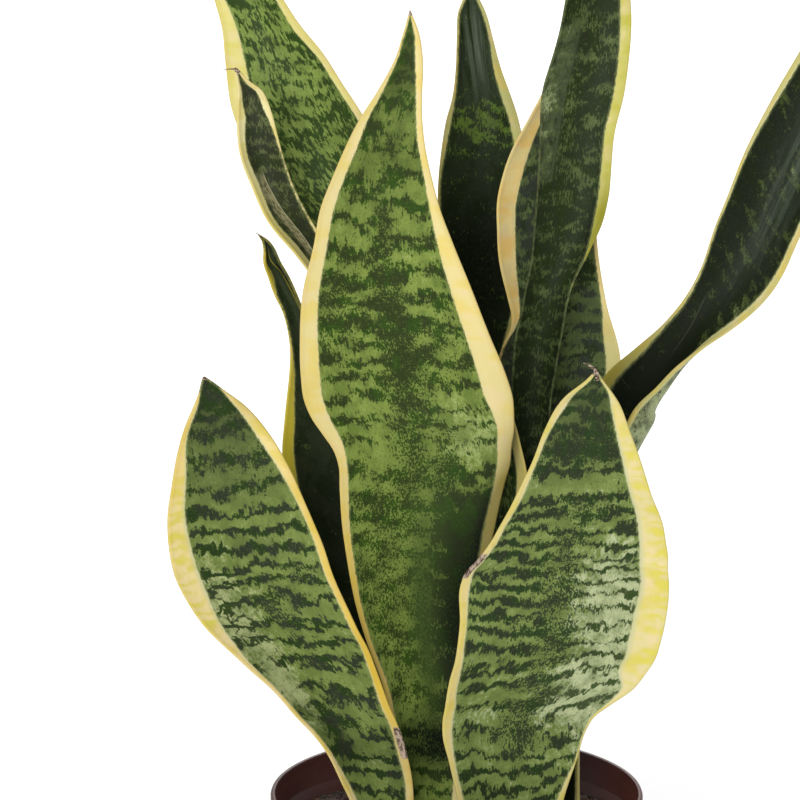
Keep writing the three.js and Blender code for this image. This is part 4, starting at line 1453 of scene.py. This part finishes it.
@dataclass
class Soil:
    """The pot's filling: an uneven top with loose crumbs and chips on it, in millimetres.

    Lumps gives the length, strength and number of waves of each layer of unevenness. The top
    is sunk a little and falls off over the edge width. The bits lie on the faces that are at
    most top_depth below the top and keep clear of the bare edge.
    """

    pot: Pot
    rings: int = 70
    steps: int = 220
    wall_gap: float = 0.35
    floor_gap: float = 0.3
    lumps: tuple[tuple[float, float, int], ...] = ((26.0, 0.5, 7), (8.0, 0.35, 7), (2.6, 0.3, 12))
    unevenness: float = 1.6
    sunk: float = 0.7
    edge_width: float = 3.0
    edge_calm: float = 0.5
    edge_drop: float = 1.2
    bare_edge: float = 2.6
    top_depth: float = 12.0
    seed: int = 11
    finish: SoilFinish = SoilFinish(tone(34, 25, 19), tone(74, 56, 42))
    bits: tuple[Bits, ...] = (
        Bits("soil_crumbs", 95000.0, 0.4, 1.3, 0.8, 1.0, tone(38, 27, 20), tone(84, 62, 46)),
        Bits("bark_chips", 7000.0, 0.9, 2.1, 0.35, 1.7, tone(58, 36, 24), tone(122, 84, 56)))

    def body(self) -> bpy.types.Object:
        """Builds the filling as one closed mesh.

        Returns:
            The soil's object.
        """
        steps, floor = self.steps, self.pot.wall + self.floor_gap
        top_radius = self.pot.inner_radius(SOIL_TOP) - self.wall_gap
        low_radius = self.pot.inner_radius(floor) - self.wall_gap
        levels = [(top_radius * (i + 1) / self.rings, SOIL_TOP) for i in range(self.rings)]
        points = [(0.0, 0.0, SOIL_TOP)]
        for radius, height in [*levels, (low_radius, floor)]:
            points += [(radius * math.cos(turn), radius * math.sin(turn), height)
                       for turn in np.arange(steps) * TURN / steps]
        place = np.array([*points, (0.0, 0.0, floor)])
        last, base = len(points), 1 + self.rings * steps
        x, y = place[:base, 0], place[:base, 1]
        lumps = sum(strength * ripple(x, y, length, self.seed + number, waves)
                    for number, (length, strength, waves) in enumerate(self.lumps))
        fall = smooth(np.hypot(x, y), top_radius - self.edge_width, top_radius)
        place[:base, 2] += (lumps - self.sunk) * self.unevenness * (1.0 - fall * self.edge_calm)
        place[:base, 2] -= fall * self.edge_drop
        faces = [(0, 1 + i, 1 + (i + 1) % steps) for i in range(steps)]
        faces += [(low + i, low + steps + i, low + steps + (i + 1) % steps, low + (i + 1) % steps)
                  for low in range(1, base, steps) for i in range(steps)]
        faces += [(last, base + (i + 1) % steps, base + i) for i in range(steps)]
        mesh = bpy.data.meshes.new("soil_fill")
        mesh.from_pydata((place * MM).tolist(), [], faces)
        mesh.shade_smooth()
        return show("soil_fill", mesh)

    @staticmethod
    def tree() -> GeometryTree:
        """Builds the tree that strews bits over the soil.

        Returns:
            The tree with its named inputs.
        """
        t = GeometryTree("Strewn bits", {"Density": 1000.0, "Smallest": 0.0005, "Largest": 0.002,
                                         "Flatness": 0.5, "Length": 1.0, "Seed": 1})
        g = t.given
        spread = t.add("GeometryNodeDistributePointsOnFaces", {
            "Mesh": g["Geometry"], "Density": g["Density"], "Seed": g["Seed"]})
        ball = t.add("GeometryNodeMeshIcoSphere", {"Radius": 1.0, "Subdivisions": 2})
        rough = t.add("ShaderNodeTexNoise", {"Scale": 1.4})
        shift = t.add("ShaderNodeVectorMath", {0: rough.outputs["Color"], 1: (0.5, 0.5, 0.5)},
                      operation="SUBTRACT")
        more = t.add("ShaderNodeVectorMath", {0: shift.outputs[0], "Scale": 1.6}, operation="SCALE")
        lumpy = t.add("GeometryNodeSetPosition", {"Geometry": ball.outputs[0],
                                                  "Offset": more.outputs[0]})
        bit = t.add("GeometryNodeTransform", {
            "Geometry": lumpy.outputs[0], "Scale": t.place(g["Length"], 1.0, g["Flatness"])})
        turn = t.add("FunctionNodeRandomValue", data_type="FLOAT_VECTOR", feeds={
            0: (-0.5, -0.5, -3.14), 1: (0.5, 0.5, 3.14), "Seed": g["Seed"]})
        size = t.add("FunctionNodeRandomValue", data_type="FLOAT", feeds={
            2: g["Smallest"], 3: g["Largest"], "Seed": g["Seed"]})
        strewn = t.add("GeometryNodeInstanceOnPoints", {
            "Points": spread.outputs["Points"], "Instance": bit.outputs[0],
            "Rotation": turn.outputs[0], "Scale": size.outputs[1]})
        t.finish(strewn.outputs[0])
        return t

    def top_sheet(self, soil: bpy.types.Object) -> bpy.types.Mesh:
        """Copies the soil's top, short of the wall, for the bits to lie on.

        Args:
            soil: The soil's object.

        Returns:
            The sheet's mesh.
        """
        reach = (self.pot.inner_radius(SOIL_TOP) - self.bare_edge) * MM
        lowest = (SOIL_TOP - self.top_depth) * MM
        kept = [face for face in soil.data.polygons
                if face.center.z > lowest and math.hypot(*face.center[:2]) < reach]
        numbers = sorted({corner for face in kept for corner in face.vertices})
        places = {old: new for new, old in enumerate(numbers)}
        sheet = bpy.data.meshes.new("soil top")
        sheet.from_pydata([soil.data.vertices[n].co[:] for n in numbers], [],
                          [tuple(places[corner] for corner in face.vertices) for face in kept])
        return sheet

    def build(self) -> list[bpy.types.Object]:
        """Builds the soil and its loose bits and places them in the frame.

        Returns:
            The soil and each set of bits.
        """
        soil, tree = self.body(), self.tree()
        soil.data.materials.append(self.finish.build("potting soil"))
        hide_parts("soil")
        pieces = [soil]
        for number, bits in enumerate(self.bits):
            values = bits.values(self.seed + number)
            pieces.append(tree.apply(bits.name, self.top_sheet(soil), values))
        for piece in pieces:
            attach(piece, "root")
        return pieces


@dataclass
class Studio:
    """A plain pale floor, soft light and the camera.

    Lengths are in metres, and the lens and its sensor in millimetres.
    """

    camera_place: Point = (-0.0213, -1.4616, 0.6142)
    camera_target: Point = (-0.0213, 0.0, 0.2768)
    lens: float = 183.4
    sensor: float = 36.0
    view_reach: float = 60.0
    surround: float = 0.42
    floor_reach: float = 12.0
    floor_tone: Colour = (0.92, 0.92, 0.92, 1.0)
    floor_roughness: float = 0.9

    def build(self) -> None:
        """Sets up the floor, the light and the camera."""
        scene = bpy.context.scene
        self.floor()
        self.light("front light", (-0.45, -1.9, 0.8), 0.9, 23.0)
        self.light("top light", (0.2, -0.8, 2.0), 1.4, 3.0)
        self.light("background light", (0.0, 2.6, 2.6), 2.4, 110.0, (0.0, 2.2, 0.0))
        scene.world = bpy.data.worlds.new("soft surround")
        scene.world.use_nodes = True
        ground = scene.world.node_tree.nodes["Background"]
        ground.inputs["Color"].default_value = (1.0, 1.0, 1.0, 1.0)
        ground.inputs["Strength"].default_value = self.surround
        scene.view_settings.view_transform = "Standard"
        camera = show("camera", bpy.data.cameras.new("camera"))
        camera.data.lens = self.lens
        camera.data.sensor_width = self.sensor
        camera.data.clip_end = self.view_reach
        self.aim(camera, self.camera_place, self.camera_target)
        scene.camera = camera

    @staticmethod
    def aim(thing: bpy.types.Object, place: Point, target: Point) -> None:
        """Stands a thing at a place and turns it towards a target."""
        thing.location = place
        thing.rotation_euler = (Vector(target) - Vector(place)).to_track_quat("-Z", "Y").to_euler()

    def light(self, name: str, place: Point, size: float, power: float,
              target: Point = (0.0, 0.0, 0.28)) -> None:
        """Adds a soft panel light.

        Args:
            name: The light's name.
            place: Where it stands.
            size: Its side.
            power: Its power in watts.
            target: What it points at.
        """
        lamp = bpy.data.lights.new(name, "AREA")
        lamp.size, lamp.energy = size, power
        self.aim(show(name, lamp), place, target)

    def floor(self) -> None:
        """Lays the pale floor."""
        far = self.floor_reach
        mesh = bpy.data.meshes.new("floor")
        mesh.from_pydata([(-far, -far, 0.0), (far, -far, 0.0), (far, far, 0.0), (-far, far, 0.0)],
                         [], [(0, 1, 2, 3)])
        material = bpy.data.materials.new("pale floor")
        material.use_nodes = True
        shader = material.node_tree.nodes["Principled BSDF"]
        shader.inputs["Base Color"].default_value = self.floor_tone
        shader.inputs["Roughness"].default_value = self.floor_roughness
        mesh.materials.append(material)
        show("floor", mesh)


# In the patches, gloom paints shade: the colour darkens towards near black where the leaves
# in front and the depth of the plant shade a leaf. The back leaves' tones are darker, partly their
# own colour and partly painted shade.
MARKS: dict[str, LeafMarks] = {
    "leaf_front_left": LeafMarks(
        seed=3, sway=9.0, patches=1.3, bold=1.5, bias=0.02, dry_tip=0.7, haze=0.6, stripes=1.0,
        light=tone(120, 136, 70), pale=tone(166, 174, 122), dark=tone(43, 51, 35),
        cream=tone(232, 214, 152), yellow=tone(216, 196, 96),
        bands=(
            (151, 150, 147, 146), (171, 167, 156, 153), (177, 179, 172, 171), (184, 187, 187, 185),
            (196, 194, 192, 193), (201, 202, 198, 200), (208, 209, 212, 209), (213, 216, 219, 216),
            (223, 220, 224, 222), (231, 230, 229, 231), (236, 236, 236, 240), (247, 242, 242, 246),
            (254, 251, 253, 259), (266, 264, 264, 268), (276, 273, 277, 279)),
        patched=(
            Patch(294, 0.0, 13, 2.0, shade=0.9, dull=0.9),
            Patch(274, 0.0, 13, 1.6, dull=0.45, sand=0.3),
            Patch(255, -0.1, 9, 1.0, dull=0.3, sand=0.2),
            Patch(230, 0.2, 4, 0.35, shade=0.6, dull=0.4),
            Patch(205, 0.1, 12, 0.25, shade=0.25, sand=0.7),
            Patch(219, 0.6, 6, 0.3, shade=0.2, sand=0.5),
            Patch(206, -0.55, 20, 0.36, bloom=0.85, shade=-0.16, net=0.8),
            Patch(225, 0.0, 24, 2.0, shade=-0.05),
            Patch(177, -0.7, 14, 0.28, bloom=1.0, shade=-0.6, sand=0.2),
            Patch(158, -0.45, 9, 0.4, shade=0.6, dull=0.6), Patch(178, 0.5, 4, 0.5, shade=-0.3),
            Patch(165, 0.1, 9, 0.5, shade=0.15, sand=0.4), Patch(150, 0.9, 22, 0.3, gloom=0.3),
            Patch(180, 1.0, 36, 0.5, ripe=1.0), Patch(240, 1.0, 30, 0.5, ripe=0.5),
            Patch(148, 0.0, 7, 1.4, gloom=0.35), Patch(272, -1.0, 20, 0.4, ripe=0.4),
            Patch(285, 0.9, 8, 0.35, gloom=0.45))),
    # The shade and gloom patches low on the right paint the shadow cast by the front right leaf;
    # the gloom at the foot paints shade.
    "leaf_centre_front": LeafMarks(
        seed=7, comb=6.0, haze=0.15, sand=0.35, patches=2.0, bold=1.2, light=tone(129, 147, 69),
        dark=tone(45, 57, 24), deep=tone(44, 70, 18), middle=tone(74, 98, 40),
        shaded_margin=tone(112, 102, 44), pale=tone(156, 170, 102), cream=tone(230, 214, 150),
        yellow=tone(230, 208, 116),
        bands=(
            (153, 151, 149, 149), (168, 166, 164, 164), (184, 180, 176, 176), (194, 191, 186, 186),
            (204, 200, 197, 197), (214, 212, 205, 205), (229, 221, 217, 218), (237, 231, 228, 230),
            (244, 238, 239, 242), (254, 248, 249, 252), (266, 263, 262, 264), (272, 271, 268, 271),
            (280, 280, 275, 275), (288, 288, 285, 285), (296, 293, 292, 291), (311, 308, 308, 302),
            (319, 315, 316, 315), (326, 321, 327, 329), (339, 332, 340, 340), (351, 346, 351, 352),
            (363, 358, 363, 365), (381, 380, 376, 373), (393, 393, 393, 393)),
        patched=(
            Patch(322, 0.02, 40, 0.13, shade=0.35, sand=0.6),
            Patch(290, 0.05, 22, 0.2, shade=0.34, sand=0.7),
            Patch(318, -0.6, 13, 0.4, shade=0.2, sand=0.5),
            Patch(300, 0.5, 10, 0.4, shade=0.1, sand=0.3), Patch(263, -0.5, 12, 0.3, shade=-0.3),
            Patch(265, 0.55, 13, 0.4, shade=-0.3, bloom=0.7), Patch(312, 0.0, 22, 2.0, shade=0.12),
            Patch(234, 0.75, 10, 0.35, shade=0.4, dull=0.2),
            Patch(256, -0.12, 18, 0.16, shade=0.3, sand=0.9),
            Patch(252, 0.3, 18, 0.13, shade=0.3, sand=0.8), Patch(354, 0.0, 12, 1.0, dull=0.2),
            Patch(372, 0.0, 28, 2.0, sand=-0.22), Patch(268, 0.0, 10, 2.0, sand=-0.15),
            Patch(228, 0.62, 13, 0.34, shade=0.6, gloom=0.1),
            Patch(215, -0.45, 44, 0.45, sand=0.75, shade=0.02),
            Patch(190, 0.12, 50, 0.26, flat=1.0), Patch(238, -0.5, 8, 0.5, shade=0.3),
            Patch(215, 0.85, 26, 0.4, shade=0.6, gloom=0.3),
            Patch(188, 0.8, 34, 0.55, shade=0.8, gloom=0.85), Patch(147, 0.2, 11, 1.3, gloom=0.95),
            Patch(392, 0.0, 26, 2.0, dull=0.14), Patch(372, 0.0, 9, 1.0, dull=0.3, sand=0.3),
            Patch(412, 0.0, 24, 2.0, dull=0.75, shade=0.25), Patch(385, -0.8, 12, 0.3, shade=0.5),
            Patch(234, 1.0, 32, 0.16, gloom=1.2), Patch(200, -1.0, 44, 0.4, ripe=0.75))),
    "leaf_front_right": LeafMarks(
        seed=12, comb=5.0, sway=10.0, patches=1.9, bold=1.4, bias=0.05, haze=0.7, stripes=1.0,
        light=tone(124, 141, 76), pale=tone(178, 186, 142), dark=tone(42, 51, 32),
        deep=tone(38, 58, 26), cream=tone(222, 208, 150), yellow=tone(214, 198, 98),
        edge=tone(204, 196, 92),
        bands=(
            (150, 146, 145, 154), (159, 156, 157, 170), (168, 165, 167, 177), (175, 173, 178, 183),
            (180, 178, 184, 186), (194, 187, 190, 193), (199, 193, 197, 201), (204, 200, 203, 207),
            (210, 206, 209, 212), (215, 211, 214, 217), (221, 216, 219, 221), (227, 225, 224, 225),
            (232, 228, 228, 230), (237, 234, 233, 236), (242, 240, 240, 243), (248, 246, 248, 252),
            (260, 258, 259, 264), (268, 267, 266, 267), (276, 275, 274, 274), (283, 282, 281, 281)),
        patched=(
            Patch(288, 0.0, 17, 2.0, dull=0.7, shade=0.35),
            Patch(268, 0.0, 9, 1.6, shade=0.4, dull=0.3, sand=0.5),
            Patch(253, 0.0, 3.5, 1.6, shade=-0.6), Patch(244, 0.0, 4, 1.6, shade=0.3),
            Patch(236, 0.75, 5, 0.25, shade=0.4), Patch(222, 0.6, 6, 0.05, shade=0.6),
            Patch(205, -0.55, 24, 0.4, shade=0.2, sand=0.2), Patch(209, 0.66, 7, 0.05, shade=0.5),
            Patch(195, 0.72, 8, 0.05, shade=0.5),
            Patch(200, -0.02, 36, 0.22, shade=0.18, sand=0.95),
            Patch(160, 0.1, 13, 0.4, sand=0.7, shade=0.1),
            Patch(207, 0.5, 24, 0.4, bloom=1.1, shade=-0.34, sand=-0.1),
            Patch(172, 0.6, 14, 0.42, bloom=1.1, shade=-0.12, sand=-0.2),
            Patch(190, 0.92, 34, 0.12, bloom=1.2, shade=-0.2), Patch(243, 0.1, 12, 1.0, sand=0.3),
            Patch(190, -1.0, 70, 0.4, ripe=0.3), Patch(156, 0.0, 8, 1.4, gloom=0.1),
            Patch(164, -0.5, 12, 0.5, shade=-0.25, bloom=0.2))),
    # The gloom patches paint the shade between the front leaves and the dark rear face past the
    # fold at the twisted tip.
    "leaf_left_narrow": LeafMarks(
        seed=17, bias=0.9, rear_margin=5.0, dark=tone(54, 62, 44), deep=tone(42, 52, 32),
        cream=tone(214, 198, 96), yellow=tone(196, 180, 56), edge=tone(190, 172, 60),
        shaded_margin=tone(128, 114, 30), fold_tone=tone(170, 160, 60), ripe=tone(244, 226, 74),
        fold=((333, 0.0), (330, 0.3), (326, 0.68), (320, 0.76), (312, 0.9), (304, 1.0)),
        patched=(
            Patch(258, -1.0, 26, 0.4, ripe=1.0), Patch(220, 0.3, 44, 1.1, gloom=0.8),
            Patch(339, 0.0, 5, 3.0, gloom=1.2), Patch(318, 1.05, 14, 0.2, gloom=1.2),
            Patch(326, 0.9, 5, 0.3, gloom=1.0))),
    # The pale strip beside the fold is a painted highlight.
    "leaf_folded_left": LeafMarks(
        seed=23, bias=0.2, sand=0.6, fleck=1.8, haze=0.1, facet=0.9, highlight_width=7.5, fold_soft=0.2,
        dark=tone(49, 54, 40), deep=tone(48, 56, 32), middle=tone(72, 80, 52),
        light=tone(102, 110, 70), cream=tone(248, 240, 184), yellow=tone(240, 226, 140),
        highlight_tone=tone(158, 150, 114), fold_tone=tone(206, 198, 160), ripe=tone(246, 232, 128),
        fold=((357, -0.12), (349, 0.08), (340, 0.27), (332, 0.32)),
        patched=(
            Patch(340, -1.0, 26, 0.4, ripe=0.7), Patch(372, -0.1, 12, 0.6, shade=0.2),
            Patch(336, 0.62, 14, 0.4, dull=0.5, shade=0.3))),
    "leaf_back_left": LeafMarks(
        seed=29, sway=10.0, bold=0.6, sand=0.35, fleck=2.2, blot=3.0, stretch=4.5, bias=0.12,
        light=tone(134, 154, 76), middle=tone(82, 104, 44), dark=tone(48, 66, 27),
        deep=tone(46, 70, 22), cream=tone(232, 222, 144), yellow=tone(226, 214, 112),
        bands=(
            (347, 347, 348, 348), (360, 359, 364, 365), (368, 369, 372, 372), (375, 375, 376, 381),
            (380, 380, 384, 388), (389, 389, 390, 391), (395, 396, 397, 397), (403, 404, 403, 400)),
        patched=(
            Patch(346, 0.3, 12, 0.9, shade=0.22), Patch(372, 0.9, 9, 0.3, shade=0.4),
            Patch(390, -0.2, 12, 0.8, shade=-0.15), Patch(255, 0.9, 26, 0.5, gloom=0.4),
            Patch(225, 0.9, 20, 0.6, gloom=0.6))),
    # The streak patch paints sheen, and the gloom patches paint shade, near black low down.
    "leaf_back_centre": LeafMarks(
        seed=34, bias=0.7, sand=0.6, fleck=1.8, dark=tone(40, 50, 33), deep=tone(30, 42, 18),
        light=tone(96, 122, 48), cream=tone(204, 202, 134), edge=tone(150, 144, 84),
        patched=(
            Patch(371, 0.0, 9, 1.5, shade=-0.75), Patch(400, 0.0, 18, 0.9, streak=0.85, dull=0.5),
            Patch(396, -1.0, 14, 0.3, gloom=0.8), Patch(325, 0.0, 26, 2.0, gloom=0.8),
            Patch(270, 0.0, 40, 2.0, gloom=0.8))),
    # The pale strip beside the fold and the two pale patches high on the left paint a glossy
    # highlight; the gloom patches paint shade.
    "leaf_tall_right": LeafMarks(
        seed=39, bias=0.3, patches=3.0, comb=7.0, sand=0.75, fleck=2.2, facet=0.3, fold_width=0.9,
        fold_soft=3.0, dark=tone(36, 45, 24), deep=tone(35, 48, 18), light=tone(84, 98, 55),
        middle=tone(56, 67, 38), cream=tone(204, 198, 112), yellow=tone(192, 184, 72),
        edge=tone(170, 166, 52), shaded_margin=tone(134, 132, 38), fold_tone=tone(70, 80, 56),
        highlight_tone=tone(118, 128, 96),
        fold=((412, -0.36), (387, -0.42), (369, -0.52), (361, -0.62)),
        patched=(
            Patch(384, -0.85, 19, 0.24, bloom=0.45, shade=-0.4),
            Patch(400, -0.7, 26, 0.3, bloom=0.15, shade=-0.3), Patch(345, 0.4, 14, 0.7, shade=0.25),
            Patch(362, 0.2, 16, 0.5, shade=-0.15), Patch(240, 0.0, 60, 2.0, gloom=0.75),
            Patch(342, 1.0, 16, 0.3, gloom=1.0), Patch(300, 1.0, 30, 0.2, gloom=0.4),
            Patch(350, -1.0, 60, 0.06, gloom=0.6))),
    # The patch at height 296 lightens the bands where the leaves in front shade this one, a painted
    # light; the gloom patches paint shade.
    "leaf_mid_right": LeafMarks(
        seed=45, bias=0.2, sand=0.65, fleck=2.0, patches=4.0, dark=tone(54, 60, 50),
        deep=tone(42, 54, 28), light=tone(98, 114, 66), middle=tone(68, 78, 52),
        cream=tone(255, 232, 160), yellow=tone(255, 212, 118), edge=tone(222, 204, 138),
        ripe=tone(216, 212, 146),
        patched=(
            Patch(275, 1.0, 34, 0.5, ripe=1.0), Patch(296, 0.2, 24, 0.8, shade=-0.4),
            Patch(318, -0.7, 8, 0.5, gloom=0.15), Patch(240, 0.0, 40, 2.0, gloom=0.5))),
    # The streak patch paints sheen and the gloom patches paint shade on the lower part; the rear
    # patch lifts that shade off the paler rear face.
    "leaf_right_arching": LeafMarks(
        seed=51, bias=0.6, patches=3.0, sand=0.6, haze=0.55, dark=tone(26, 32, 20),
        deep=tone(25, 33, 14), light=tone(70, 82, 40), middle=tone(43, 50, 28),
        cream=tone(206, 200, 132), edge=tone(160, 152, 70), shaded_margin=tone(120, 112, 30),
        fold_tone=tone(72, 76, 54), fold=((318, -0.5), (304, -0.36)),
        patched=(
            Patch(390, 0.2, 40, 0.35, streak=0.5), Patch(362, 0.1, 14, 0.7, shade=-0.25),
            Patch(340, -0.2, 9, 0.5, shade=-0.15), Patch(300, 0.0, 22, 0.7, gloom=0.5, shade=0.5),
            Patch(324, 0.72, 18, 0.36, shade=-0.5, gloom=-0.5, bloom=0.2),
            Patch(278, -0.4, 24, 1.2, gloom=0.62), Patch(282, -0.95, 18, 0.3, gloom=0.5),
            Patch(280, 0.0, 40, 2.0, rear=True, bloom=0.95, gloom=-2.0, shade=-1.45))),
}
SCARS: dict[str, tuple[Scar, ...]] = {
    "leaf_front_left": (Scar(153.0, Side.RIGHT, 7.0, 3.0),),
    "leaf_front_right": (Scar(224.0, Side.LEFT, 5.0, 3.0),),
}
THREADS: dict[str, tuple[Thread, ...]] = {
    "leaf_front_right": (
        Thread(((48.6, -51.6, 296.0), (48.7, -51.8, 298.5), (47.5, -52.0, 300.2),
                (45.3, -52.0, 301.7), (43.6, -52.0, 302.2)), 1.5),),
    "leaf_folded_left": (
        Thread(((-79.6, -5.0, 398.4), (-80.2, -5.2, 400.1), (-82.2, -5.4, 400.4),
                (-85.2, -5.6, 400.1)), 0.8),),
}


def leaves() -> list[Leaf]:
    """Lists the leaves with their levels, marks, scars and threads.

    Returns:
        The leaves, front ones first.
    """
    return [Leaf(name, levels, MARKS[name], SCARS.get(name, ()), THREADS.get(name, ()))
            for name, levels in LEVELS.items()]


def main() -> None:
    """Builds the plant, its pot and the studio, and reports each piece."""
    logging.basicConfig(level=logging.INFO, format="%(name)s: %(message)s")
    pot = Pot()
    for piece in [pot.build(), *Soil(pot).build()]:
        LOG.info("%s: %d faces", piece.name, len(piece.data.polygons))
    bands, relief = cross_bands(), leaf_relief()
    for leaf in leaves():
        piece = leaf.build()
        leaf.dress(piece, bands, relief)
        LOG.info("%s: %d faces", piece.name, len(piece.data.polygons))
    Studio().build()


if __name__ == "__main__":
    main()
